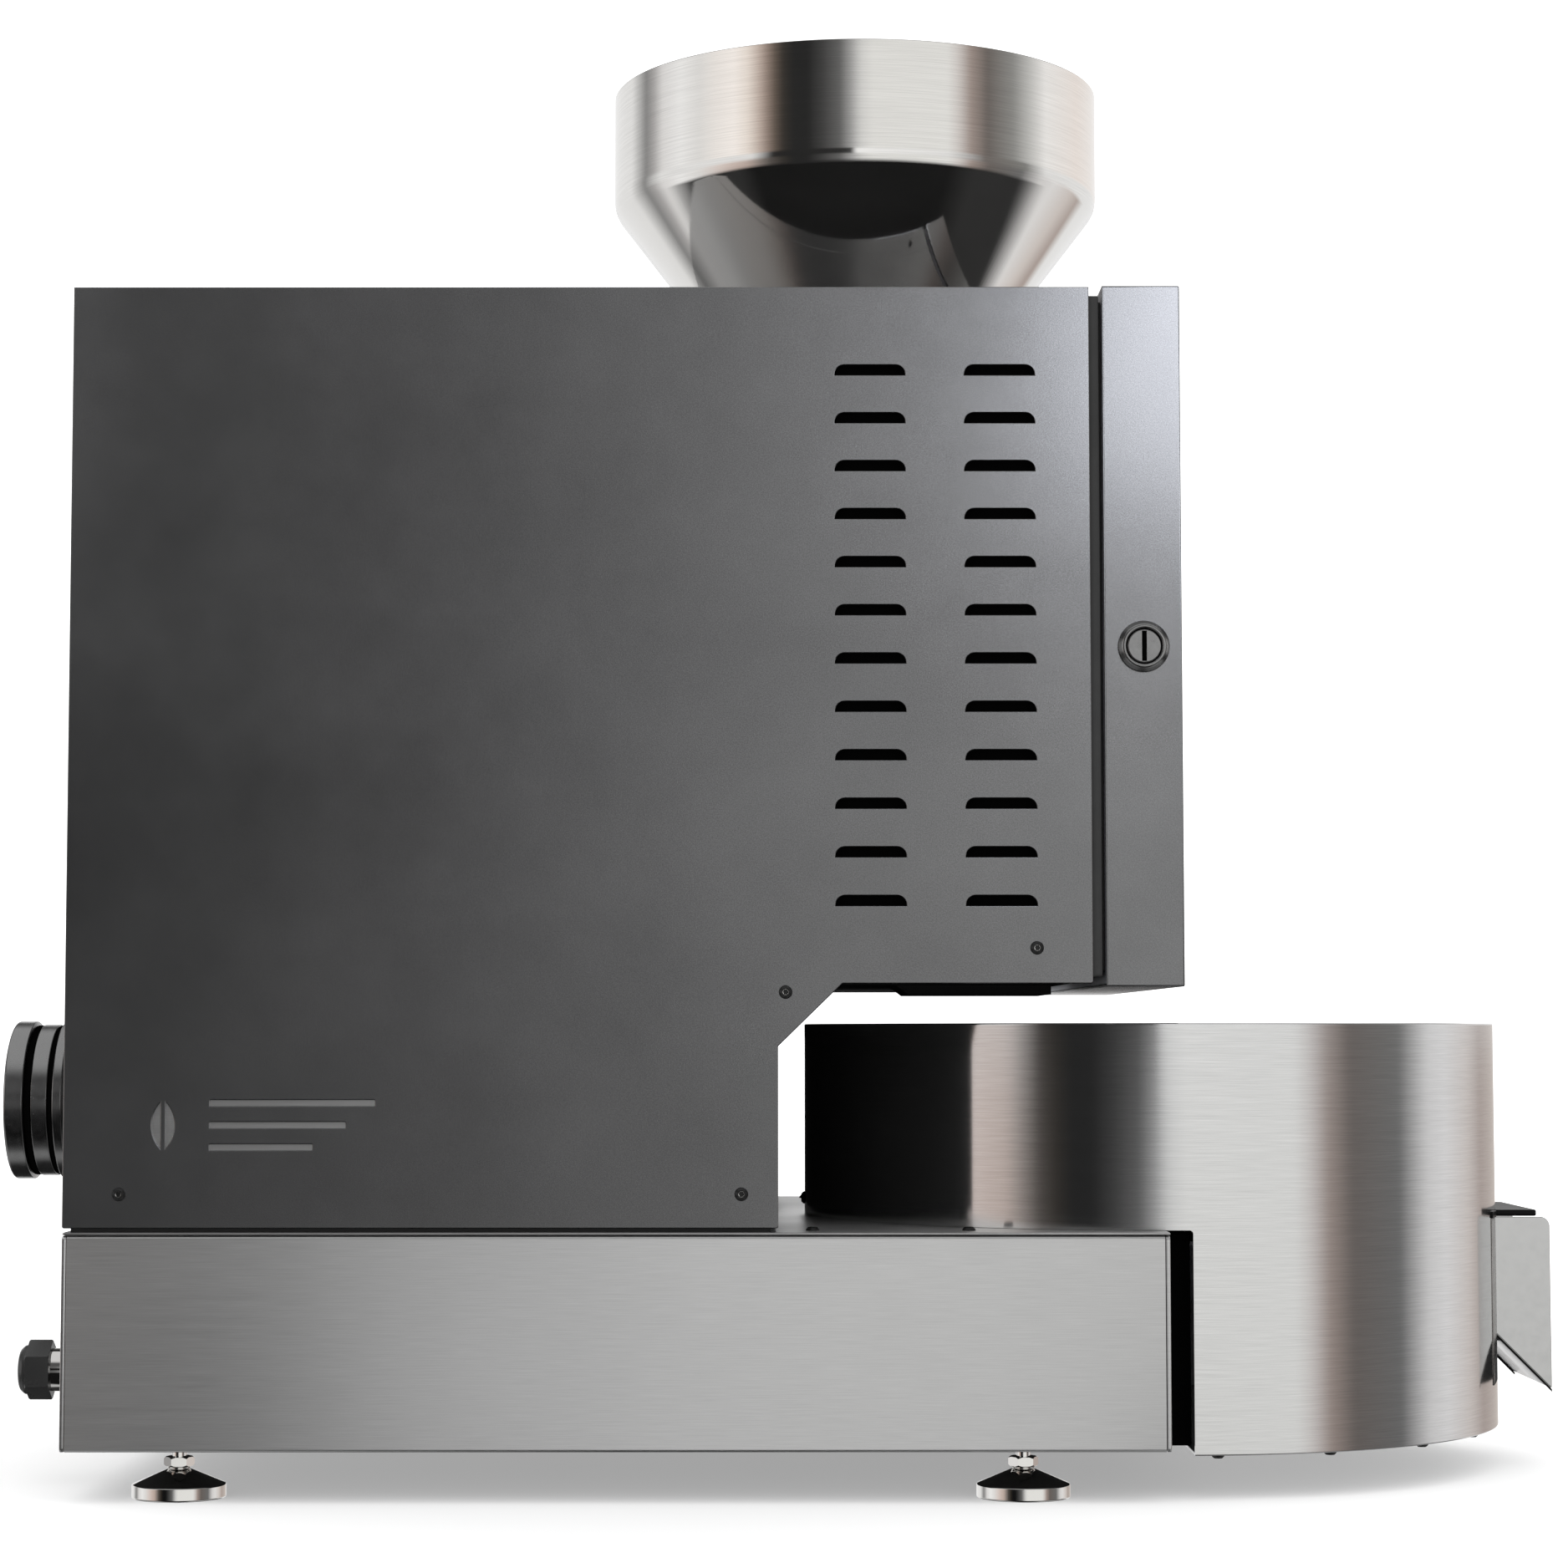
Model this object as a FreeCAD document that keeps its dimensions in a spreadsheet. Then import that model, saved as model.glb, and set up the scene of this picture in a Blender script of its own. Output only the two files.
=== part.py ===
import FreeCAD, Part
import math
import os
import Sketcher

# Drum coffee roaster for about 3 kg: a sheet-metal cabinet on a low base, a hopper on top, a hinged
# front door, and a round cooling tray in front with its own discharge chute.
#
# Every shape is drawn in machine coordinates, in millimetres: x runs forward from the cabinet's rear
# face, y is measured from the middle plane, and z runs up from the underside of the base. Placements
# then carry it into the model's own frame, whose origin is on the ground under the middle of the
# outline: origin_back is how far that point lies in front of the rear face.

DIMENSIONS = {
    "origin_back": 387.7,
    "foot_height": 28.0,
    "gauge": 1.5,
    "half_width": 224.6,
    # base
    "base_height": 116.6,
    "base_rear_gauge": 2.5,
    "base_front": 603.3,
    "base_flange": 14.0,
    "deck_under": 116.9,
    "deck_gauge": 1.5,
    # cabinet
    "cabinet_bottom": 120.7,
    "cabinet_top": 639.2,
    "cabinet_length": 562.3,
    "leg_length": 390.0,
    "leg_step": 219.5,
    "belly_start": 425.2,
    "belly_height": 253.8,
    "top_flange": 22.0,
    "louvre_width": 39.0,
    "louvre_rise": 5.8,
    "louvre_first": 296.1,
    "louvre_pitch": 26.69,
    "louvre_column": 421.4,
    "louvre_column_gap": 71.6,
    # door
    "door_back": 569.5,
    "door_depth": 43.0,
    "door_bottom": 252.0,
    "door_top": 639.8,
    "hinge_x": 565.9,
    "knuckle_radius": 3.8,
    "hinge_pin_radius": 1.8,
    "hinge_length": 60.0,
    "leaf_gauge": 2.0,
    "lock_x": 591.3,
    "lock_height": 438.85,
    "lock_radius": 14.2,
    "lock_core_radius": 9.4,
    "cam_reach": 34.0,
    "cam_depth": 21.5,
    # hopper
    "hopper_x": 438.3,
    "hopper_radius": 147.9,
    "hopper_rim": 800.5,
    "hopper_knee": 731.0,
    "hopper_bend": 18.0,
    "cone_slope": 0.764,
    "throat_radius": 28.0,
    # roasting drum
    "drum_axis": 420.0,
    "drum_radius": 125.0,
    "drum_back": 118.0,
    "drum_front": 390.0,
    "drum_gauge": 3.0,
    "jacket_radius": 143.5,
    "insulation_radius": 158.0,
    "rear_plate_x": 96.0,
    "faceplate_x": 396.0,
    "plate_gauge": 6.0,
    "faceplate_radius": 160.0,
    "shaft_radius": 15.0,
    "bearing_radius": 24.0,
    "pulley_x": 34.0,
    "pulley_width": 16.0,
    "pulley_radius": 52.0,
    "motor_pulley_radius": 20.0,
    "motor_y": 120.0,
    "motor_z": 215.0,
    "motor_radius": 36.0,
    "belt_gauge": 3.0,
    # bean path
    "gate_height": 570.1,
    "gate_gauge": 2.0,
    "flap_axis_x": 407.5,
    "flap_axis_z": 366.0,
    "port_front": 552.5,
    "port_back": 467.5,
    "port_half_width": 54.0,
    "port_bottom": 249.6,
    # air paths
    "exhaust_axis": 186.5,
    "spigot_radius": 47.5,
    "spigot_reach": 70.0,
    "spigot_bore": 41.0,
    "fan_housing_radius": 51.0,
    "cooling_fan_x": 497.0,
    "cooling_fan_radius": 78.0,
    # cooling tray
    "tray_x": 613.7,
    "tray_radius": 207.0,
    "tray_rim": 232.2,
    "skirt_bottom": -3.9,
    "skirt_split": 617.8,
    "tray_screw_height": 127.5,
    "screen_height": 122.9,
    "screen_gauge": 1.5,
    "agitator_radius": 198.0,
    "chute_half_width": 54.0,
    "chute_tip": 846.0,
    "chute_top": 118.4,
    "chute_back": 745.1,
    "outlet_back": 748.0,
    "outlet_front": 804.0,
    "outlet_half_width": 46.0,
    "gate_plate_back": 740.0,
    "gate_plate_front": 839.1,
    "gate_plate_gauge": 3.7,
    # fittings
    "gland_y": -112.0,
    "gland_height": 34.5,
    "gland_flats": 29.5,
    "gland_reach": 45.0,
    "gland_bore": 7.5,
    "screw_head_radius": 3.8,
    "screw_head_height": 2.2,
    "screw_shank_radius": 2.0,
    "foot_x_rear": 60.0,
    "foot_x_front": 525.0,
    "foot_y": 190.0,
    "foot_pad_radius": 25.8,
    "stud_radius": 4.0,
    "running_clearance": 0.05,
}

doc = FreeCAD.newDocument("coffee_roaster")
sheet = doc.addObject("Spreadsheet::Sheet", "Dim")
for row, (alias, number) in enumerate(DIMENSIONS.items(), start=1):
    sheet.set(f"A{row}", alias.replace("_", " "))
    sheet.set(f"B{row}", str(number))
    sheet.setAlias(f"B{row}", alias)
doc.recompute()


class Size:
    """A length with both its value and the sheet formula that gives it, built by plain arithmetic."""

    def __init__(self, value, rule):
        self.value = value
        self.rule = rule

    def join(self, other, sign, value, swapped=False):
        text = other.rule if isinstance(other, Size) else repr(float(other))
        left, right = (text, self.rule) if swapped else (self.rule, text)
        return Size(value, f"({left} {sign} {right})")

    def __add__(self, other):
        return self.join(other, "+", self.value + number(other))

    def __radd__(self, other):
        return self.join(other, "+", number(other) + self.value, True)

    def __sub__(self, other):
        return self.join(other, "-", self.value - number(other))

    def __rsub__(self, other):
        return self.join(other, "-", number(other) - self.value, True)

    def __mul__(self, other):
        return self.join(other, "*", self.value * number(other))

    def __rmul__(self, other):
        return self.join(other, "*", number(other) * self.value, True)

    def __truediv__(self, other):
        return self.join(other, "/", self.value / number(other))

    def __neg__(self):
        return Size(-self.value, f"(-1.0 * {self.rule})")


def number(size):
    return size.value if isinstance(size, Size) else float(size)


class Sheet:
    """Gives each alias of the sheet as a Size: D.gauge, D.half_width and so on."""

    def __getattr__(self, alias):
        return Size(float(sheet.get(alias)), f"Dim.{alias}")


D = Sheet()
parts = []
LEFT, RIGHT = -1, 1


def bind(item, path, size):
    """Sets a property, and ties it to the sheet when the size comes from there."""
    if isinstance(size, Size):
        item.setExpression(path, size.rule)
    elif path.isidentifier():
        setattr(item, path, size)


def place(item, x=0.0, y=0.0, z=0.0, turn=None):
    """Puts an item at machine coordinates, in the model's own frame."""
    spot = (x - D.origin_back, y, z + D.foot_height)
    item.Placement = FreeCAD.Placement(
        FreeCAD.Vector(*[number(c) for c in spot]), turn or FreeCAD.Rotation()
    )
    for letter, size in zip("xyz", spot):
        bind(item, f"Placement.Base.{letter}", size)
    return item


def local(item, x=0.0, y=0.0, z=0.0, turn=None):
    """Puts a primitive at a point of the drawing of the sub-part that it belongs to."""
    item.Placement = FreeCAD.Placement(
        FreeCAD.Vector(number(x), number(y), number(z)), turn or FreeCAD.Rotation()
    )
    for letter, size in zip("xyz", (x, y, z)):
        bind(item, f"Placement.Base.{letter}", size)
    return item


def keep(item, label):
    """Names a finished sub-part, which is then written to its own file."""
    item.Label = label
    parts.append(item)
    return item


def about(axis, degrees):
    return FreeCAD.Rotation(FreeCAD.Vector(*axis), degrees)


ALONG_X = about((0, 1, 0), 90)
ALONG_Y = about((1, 0, 0), -90)


# ---- sketches and features of a PartDesign body ----


def new_body(name):
    return place(doc.addObject("PartDesign::Body", name))


def new_sketch(body, plane="XY_Plane", offset=0.0):
    """A sketch on one of the body's own planes. XZ_Plane faces -Y, so its offset counts towards -Y."""
    sketch = body.newObject("Sketcher::SketchObject", body.Name + "_sketch")
    support = [f for f in body.Origin.OriginFeatures if f.Role == plane][0]
    sketch.AttachmentSupport = [(support, "")]
    sketch.MapMode = "FlatFace"
    sketch.AttachmentOffset.Base.z = number(offset)
    bind(sketch, "AttachmentOffset.Base.z", offset)
    return sketch


def pin(sketch, kind, geometry, point, size):
    """Fixes one coordinate of a sketch point, measured from the sketch's origin."""
    index = sketch.addConstraint(Sketcher.Constraint(kind, -1, 1, geometry, point, number(size)))
    bind(sketch, f"Constraints[{index}]", size)


def arc_between(start, end, radius):
    """The arc from start to end: counter-clockwise with a positive radius, clockwise with a negative."""
    size = abs(radius)
    middle = (start + end) * 0.5
    half = end - start
    across = FreeCAD.Vector(-half.y, half.x, 0).normalize()
    depth = math.sqrt(max(size * size - half.Length * half.Length / 4, 0))
    centre = middle + across * (depth if radius > 0 else -depth)
    first, last = (start, end) if radius > 0 else (end, start)
    angles = [math.atan2(p.y - centre.y, p.x - centre.x) for p in (first, last)]
    circle = Part.Circle(centre, FreeCAD.Vector(0, 0, 1), size)
    return Part.ArcOfCircle(circle, angles[0], angles[1])


def outline(sketch, corners):
    """A closed outline. A corner is (u, v), or (u, v, radius) where an arc leads on to the next one."""
    points = [FreeCAD.Vector(number(c[0]), number(c[1]), 0) for c in corners]
    ends = []
    for i, corner in enumerate(corners):
        start, end = points[i], points[(i + 1) % len(points)]
        if len(corner) == 2:
            index = sketch.addGeometry(Part.LineSegment(start, end))
            ends.append((index, 1, 2))
            continue
        index = sketch.addGeometry(arc_between(start, end, number(corner[2])))
        ends.append((index, 1, 2) if number(corner[2]) > 0 else (index, 2, 1))
    for i, (index, first, last) in enumerate(ends):
        following = ends[(i + 1) % len(ends)]
        sketch.addConstraint(Sketcher.Constraint("Coincident", index, last, following[0], following[1]))
    for corner, (index, first, last) in zip(corners, ends):
        pin(sketch, "DistanceX", index, first, corner[0])
        pin(sketch, "DistanceY", index, first, corner[1])
        if len(corner) == 3:
            sketch.addConstraint(Sketcher.Constraint("Radius", index, abs(number(corner[2]))))


def rectangle(sketch, u0, u1, v0, v1):
    outline(sketch, [(u0, v0), (u1, v0), (u1, v1), (u0, v1)])


def circle(sketch, u, v, radius):
    shape = Part.Circle(FreeCAD.Vector(number(u), number(v), 0), FreeCAD.Vector(0, 0, 1), number(radius))
    index = sketch.addGeometry(shape)
    pin(sketch, "DistanceX", index, 3, u)
    pin(sketch, "DistanceY", index, 3, v)
    ring = sketch.addConstraint(Sketcher.Constraint("Radius", index, number(radius)))
    bind(sketch, f"Constraints[{ring}]", radius)


def hexagon(sketch, u, v, flats):
    """A regular hexagon with a corner towards +u, drawn by its width across the flats."""
    reach = number(flats) / math.sqrt(3)
    turns = [math.radians(60 * k) for k in range(6)]
    outline(sketch, [(u + reach * math.cos(t), v + reach * math.sin(t)) for t in turns])


def feature(body, kind, sketch, length, both_ways=False, backwards=False):
    made = body.newObject(f"PartDesign::{kind}", f"{body.Name}_{kind.lower()}")
    made.Profile = sketch
    bind(made, "Length", length)
    if both_ways:
        made.SideType = "Symmetric"
    made.Reversed = backwards
    sketch.Visibility = False
    return made


def pad(body, sketch, length, both_ways=False, backwards=False):
    return feature(body, "Pad", sketch, length, both_ways, backwards)


def pocket(body, sketch, length, both_ways=False, backwards=False):
    return feature(body, "Pocket", sketch, length, both_ways, backwards)


def revolve(body, sketch, axis="V_Axis"):
    made = body.newObject("PartDesign::Revolution", body.Name + "_revolution")
    made.Profile = sketch
    made.ReferenceAxis = (sketch, [axis])
    made.Angle = 360
    return made


def around(body, originals, axis, count):
    pattern = body.newObject("PartDesign::PolarPattern", body.Name + "_ring")
    pattern.Originals = originals
    pattern.Axis = ([f for f in body.Origin.OriginFeatures if f.Role == axis][0], [""])
    pattern.Angle = 360
    pattern.Occurrences = count
    body.Tip = pattern
    return pattern


def plate(label, plane, offset, gauge, corners, holes=()):
    """A flat sheet: one pad, with round holes (u, v, radius) and outlined openings cut through it."""
    body = new_body(label)
    sketch = new_sketch(body, plane, offset)
    outline(sketch, corners)
    pad(body, sketch, gauge)
    if holes:
        cuts = new_sketch(body, plane, offset)
        for hole in holes:
            if isinstance(hole, tuple):
                circle(cuts, *hole)
            else:
                outline(cuts, hole)
        pocket(body, cuts, gauge, backwards=True)
    return keep(body, label)


def oblong(u0, u1, v0, v1):
    return [(u0, v0), (u1, v0), (u1, v1), (u0, v1)]


# ---- Part primitives ----


def block(name, x0, x1, y0, y1, z0, z1):
    item = doc.addObject("Part::Box", name)
    for path, size in (("Length", x1 - x0), ("Width", y1 - y0), ("Height", z1 - z0)):
        bind(item, path, size)
    return local(item, x0, y0, z0)


def rod(name, radius, length, x=0.0, y=0.0, z=0.0, turn=None):
    item = doc.addObject("Part::Cylinder", name)
    bind(item, "Radius", radius)
    bind(item, "Height", length)
    return local(item, x, y, z, turn)


def cut(name, base, tool):
    item = doc.addObject("Part::Cut", name)
    item.Base = base
    item.Tool = tool
    return item


def fuse(name, shapes):
    item = doc.addObject("Part::MultiFuse", name)
    item.Shapes = shapes
    return item


def group(name, shapes):
    item = doc.addObject("Part::Compound", name)
    item.Links = shapes
    return item


# ---- base ----


def base_side(label, side):
    """A folded channel: a tall web with a flange turned inwards at its top and bottom."""
    web = side * D.half_width
    inner = side * (D.half_width - D.gauge)
    lip = side * (D.half_width - D.base_flange)
    top = D.base_height
    body = new_body(label)
    sketch = new_sketch(body, "YZ_Plane", D.base_rear_gauge + 0.2)
    corners = [(web, 0.0), (lip, 0.0), (lip, D.gauge), (inner, D.gauge)]
    corners += [(inner, top - D.gauge), (lip, top - D.gauge), (lip, top), (web, top)]
    outline(sketch, corners)
    pad(body, sketch, D.base_front - 2 * D.base_rear_gauge - 0.4)
    keep(body, label)


def base_panels():
    wide = oblong(-D.half_width, D.half_width, 0.0, D.base_height)
    gland_hole = (D.gland_y, D.gland_height, 12.6)
    plate("base_rear_panel", "YZ_Plane", 0.0, D.base_rear_gauge, wide, [gland_hole])
    front = [(-D.half_width, 0.0), (D.half_width, 0.0), (D.half_width, D.base_height)]
    front += [(42.0, D.base_height), (42.0, 14.0), (-42.0, 14.0), (-42.0, D.base_height)]
    front += [(-D.half_width, D.base_height)]
    plate("base_front_panel", "YZ_Plane", D.base_front - D.base_rear_gauge, D.base_rear_gauge, front)
    base_side("base_side_left", LEFT)
    base_side("base_side_right", RIGHT)


def foot_spots():
    return [(x, side * D.foot_y) for x in (D.foot_x_rear, D.foot_x_front) for side in (LEFT, RIGHT)]


def base_floor():
    """The floor sheet with a welded, threaded boss over each foot."""
    inside = D.half_width - D.gauge - 0.3
    floor_sheet = block("floor_sheet", D.base_rear_gauge + 0.5, D.base_front - 3.0, -inside, inside, 1.6, 3.1)
    bosses = [rod("boss", 14.0, 18.0, x, y, 2.0) for x, y in foot_spots()]
    drills = [rod("drill", D.stud_radius + D.running_clearance, 30.0, x, y, -2.0) for x, y in foot_spots()]
    solid = fuse("floor_weldment", [floor_sheet] + bosses)
    keep(place(cut("base_floor", solid, fuse("floor_drills", drills))), "base_floor")


def deck():
    """The top sheet of the base, cut out under the tray so that cooling air can pass down."""
    outer = D.half_width
    reach = 186.0
    back_x = D.base_front
    half = math.sqrt(reach * reach - (number(D.tray_x) - number(back_x)) ** 2)
    corners = [(0.0, -outer), (back_x, -outer), (back_x, -half, -reach), (back_x, half)]
    corners += [(back_x, outer), (0.0, outer)]
    body = new_body("deck_plate")
    sketch = new_sketch(body, "XY_Plane", D.deck_under)
    outline(sketch, corners)
    pad(body, sketch, D.deck_gauge)
    cuts = new_sketch(body, "XY_Plane", D.deck_under)
    for x, y in deck_screw_spots():
        circle(cuts, x, y, D.screw_shank_radius)
    pocket(body, cuts, D.deck_gauge, backwards=True)
    keep(body, "deck_plate")


def deck_screw_spots():
    return [(x, side * 202.0) for x in (409.0, 495.0) for side in (LEFT, RIGHT)]


# ---- cabinet ----


def side_screw_spots():
    return [(30.8, 139.2), (369.9, 139.2), (394.1, 249.1), (531.7, 273.2)]


def top_screw_spots(side):
    return [(x, side * (D.half_width - 17.0)) for x in (27.0, 531.0)]


def louvre_pockets(body, offset):
    """Two columns of breathing slots, flat below and rounded above, repeated upwards."""
    cuts = new_sketch(body, "XZ_Plane", offset)
    high = D.louvre_rise
    low = D.louvre_first
    for column in (D.louvre_column, D.louvre_column + D.louvre_column_gap):
        last = column + D.louvre_width
        corners = [(column, low), (last, low, high), (last - high, low + high)]
        corners += [(column + high, low + high, high)]
        outline(cuts, corners)
    made = pocket(body, cuts, D.gauge + 4.0, both_ways=True)
    pattern = body.newObject("PartDesign::LinearPattern", body.Name + "_rows")
    pattern.Originals = [made]
    pattern.Direction = (cuts, ["V_Axis"])
    pattern.Length = 11 * number(D.louvre_pitch)
    pattern.setExpression("Length", (11 * D.louvre_pitch).rule)
    pattern.Occurrences = 12
    body.Tip = pattern


def badge_pockets(body, offset):
    """A plain cut-out sign: a coffee bean in two halves and three bars."""
    cuts = new_sketch(body, "XZ_Plane", offset)
    low, high = 162.8, 190.5
    outline(cuts, [(53.0, low + 1.5), (53.0, high - 1.5, 18.5)])
    outline(cuts, [(56.0, high - 1.5), (56.0, low + 1.5, 18.5)])
    for level, length in ((163.0, 56.0), (175.0, 74.0), (187.0, 90.0)):
        rectangle(cuts, 80.0, 80.0 + length, level, level + 3.4)
    pocket(body, cuts, D.gauge + 4.0, both_ways=True)


def cabinet_side(label, side):
    """One side sheet: a stepped outline with a flange folded over the top."""
    body = new_body(label)
    offset = D.half_width - D.gauge if side == LEFT else -D.half_width
    sketch = new_sketch(body, "XZ_Plane", offset)
    front = D.cabinet_length
    outline(
        sketch,
        [
            (0.0, D.cabinet_bottom),
            (D.leg_length, D.cabinet_bottom),
            (D.leg_length, D.leg_step),
            (D.belly_start, D.belly_height),
            (front, D.belly_height),
            (front, D.cabinet_top),
            (0.0, D.cabinet_top),
        ],
    )
    pad(body, sketch, D.gauge)
    lip = new_sketch(body, "XY_Plane", D.cabinet_top - D.gauge)
    web = side * (D.half_width - D.gauge / 2)
    near = side * (D.half_width - D.top_flange)
    far = side * (D.half_width - D.top_flange - 12.0)
    outline(lip, [(0.0, web), (0.0, near), (500.0, near), (512.0, far), (front, far), (front, web)])
    pad(body, lip, D.gauge)
    lip_holes = new_sketch(body, "XY_Plane", D.cabinet_top - D.gauge)
    for x, y in top_screw_spots(side):
        circle(lip_holes, x, y, D.screw_shank_radius)
    pocket(body, lip_holes, D.gauge, backwards=True)
    louvre_pockets(body, offset)
    screws = new_sketch(body, "XZ_Plane", offset)
    for x, z in side_screw_spots():
        circle(screws, x, z, D.screw_shank_radius)
    pocket(body, screws, D.gauge + 4.0, both_ways=True)
    if side == LEFT:
        badge_pockets(body, offset)
    keep(body, label)


def cabinet_sheets():
    inside = D.half_width - D.gauge - 0.1
    front = D.cabinet_length
    rear = oblong(-inside, inside, D.cabinet_bottom, D.cabinet_top - D.gauge - 0.1)
    spigot_hole = (0.0, D.exhaust_axis, 46.0)
    vents = [oblong(y, y + 60.0, z, z + 6.0) for z in (560.0, 580.0, 600.0) for y in (-110.0, -30.0, 50.0)]
    plate("cabinet_rear_panel", "YZ_Plane", 0.0, D.gauge, rear, [spigot_hole] + vents)
    near = D.half_width - D.top_flange - 0.4
    far = near - 12.0
    top = [(0.0, -near), (499.7, -near), (511.7, -far), (front, -far)]
    top += [(front, far), (511.7, far), (499.7, near), (0.0, near)]
    hopper_hole = (D.hopper_x, 0.0, 78.2)
    plate("cabinet_top_panel", "XY_Plane", D.cabinet_top - D.gauge, D.gauge, top, [hopper_hole])


def underpan():
    """One bent sheet that closes the cabinet below: over the base, up the step and under the drum."""
    body = new_body("cabinet_underpan")
    sketch = new_sketch(body, "XZ_Plane")
    gauge = D.gauge
    low, wall = D.cabinet_bottom + 0.3, D.leg_length - 1.0
    belly = D.belly_height + 1.2
    step = D.leg_step + 0.6
    knee = D.belly_start - 0.4
    corners = [(gauge + 0.1, low), (wall, low), (wall, step), (knee, belly), (557.5, belly)]
    corners += [(557.5, belly + gauge), (knee - 0.6, belly + gauge), (wall - gauge, step + 0.6)]
    corners += [(wall - gauge, low + gauge), (gauge + 0.1, low + gauge)]
    outline(sketch, corners)
    pad(body, sketch, 2 * (D.half_width - D.gauge - 0.2), both_ways=True)
    port = new_sketch(body, "XY_Plane", belly)
    half = D.port_half_width + 0.6
    rectangle(port, 455.5, D.port_front + 0.6, -half, half)
    pocket(body, port, gauge, backwards=True)
    keep(body, "cabinet_underpan")


def cabinet_frame():
    """Four square corner posts that the sheets are screwed to."""
    posts = []
    outer = D.half_width - D.gauge - 0.5
    for side in (LEFT, RIGHT):
        y = side * outer - (18.0 if side == RIGHT else 0.0)
        for x, foot in ((2.0, 123.5), (536.0, 257.5)):
            posts.append(block("post", x, x + 18.0, y, y + 18.0, foot, D.cabinet_top - D.gauge - 0.3))
    keep(place(group("frame_posts", posts)), "frame_posts")


def cabinet_gasket():
    inside = D.half_width - 5.0
    low = D.deck_under + D.deck_gauge
    item = block("cabinet_gasket", 0.0, D.leg_length - 8.0, 0.0, 2 * inside, low, D.cabinet_bottom - 0.1)
    keep(place(item, 4.0, -inside, low), "cabinet_gasket")


def front_opening():
    """The sheet behind the door, and the soft seal that the door closes on."""
    inside = D.half_width - D.gauge - 0.2
    sheet_back = D.cabinet_length - 3.6
    slot_y = -D.half_width + D.cam_depth
    cam_slot = oblong(slot_y - 3.2, slot_y + 3.2, D.lock_height - 8.0, D.lock_height + 24.0)
    corners = oblong(-inside, inside, 257.2, D.cabinet_top - D.gauge - 0.3)
    access = (0.0, D.drum_axis, 150.0)
    plate("front_bulkhead", "YZ_Plane", sheet_back, D.gauge, corners, [access, cam_slot])
    seal_y = D.half_width - 4.0
    low, high = D.belly_height + 4.0, D.cabinet_top - 4.0
    outer = block("seal_outer", sheet_back + 1.6, D.door_back - 0.3, -seal_y, seal_y, low, high)
    hollow = (D.cabinet_length - 10.0, D.door_back + 10.0, 14.0 - seal_y, seal_y - 14.0)
    inner = block("seal_inner", *hollow, low + 14.0, high - 14.0)
    keep(place(cut("door_gasket", outer, inner)), "door_gasket")


# ---- hopper and bean path ----


def hopper():
    """A spun bowl: an upright band, a soft bend and a cone that runs down to the throat flange."""
    body = new_body("hopper")
    place(body, D.hopper_x, 0.0, 0.0)
    sketch = new_sketch(body, "XZ_Plane")
    radius, knee, gauge = number(D.hopper_radius), number(D.hopper_knee), number(D.gauge)
    lean = math.atan(number(D.cone_slope))
    setback = number(D.hopper_bend) * math.tan(lean / 2)
    inner_setback = (number(D.hopper_bend) - gauge) * math.tan(lean / 2)
    throat = number(D.throat_radius)
    throat_z = knee - (radius - throat) / number(D.cone_slope)
    inner_knee = knee + gauge * math.tan(lean / 2)
    inner_z = inner_knee - (radius - throat) / number(D.cone_slope)
    below = (setback * math.sin(lean), setback * math.cos(lean))
    inner_below = (inner_setback * math.sin(lean), inner_setback * math.cos(lean))
    corners = [
        (throat, throat_z - gauge),
        (throat + 6.0, throat_z - gauge),
        (throat + 6.0, throat_z),
        (throat, throat_z),
        (radius - below[0], knee - below[1], D.hopper_bend),
        (D.hopper_radius, knee + setback),
        (D.hopper_radius, D.hopper_rim),
        (D.hopper_radius - D.gauge, D.hopper_rim),
        (D.hopper_radius - D.gauge, inner_knee + inner_setback, D.gauge - D.hopper_bend),
        (radius - gauge - inner_below[0], inner_knee - inner_below[1]),
        (throat - gauge, inner_z),
        (throat - gauge, throat_z - gauge),
    ]
    outline(sketch, corners)
    revolve(body, sketch)
    keep(body, "hopper")


def feed_duct():
    """The box under the hopper gate that turns the beans back into the drum."""
    body = new_body("feed_duct")
    sketch = new_sketch(body, "XZ_Plane")
    back = D.faceplate_x + D.plate_gauge + 0.1
    top = D.gate_height - 0.6
    outline(sketch, [(back, 478.0), (470.0, 548.0), (470.0, top), (back, top)])
    pad(body, sketch, 72.0, both_ways=True)
    shelf = new_sketch(body, "XY_Plane", top - D.gauge)
    rectangle(shelf, back + 0.2, 474.0, -40.0, 112.0)
    pad(body, shelf, D.gauge)
    hollow = new_sketch(body, "XZ_Plane")
    outline(hollow, [(back - 5.0, 475.2), (468.5, 548.7), (468.5, top - 1.4), (back - 5.0, top - 1.4)])
    pocket(body, hollow, 69.0, both_ways=True)
    mouth = new_sketch(body, "XY_Plane", top)
    circle(mouth, D.hopper_x, 0.0, D.throat_radius - D.gauge)
    pocket(body, mouth, 2.4)
    keep(body, "feed_duct")


def hopper_gate():
    """A sliding blade under the throat, with a tail for its actuator."""
    blade = block("blade", 405.0, 471.0, -37.0, 37.0, D.gate_height, D.gate_height + D.gate_gauge)
    tail = block("tail", 432.0, 444.0, 30.0, 70.0, D.gate_height, D.gate_height + D.gate_gauge)
    keep(place(fuse("hopper_gate", [blade, tail])), "hopper_gate")


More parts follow.
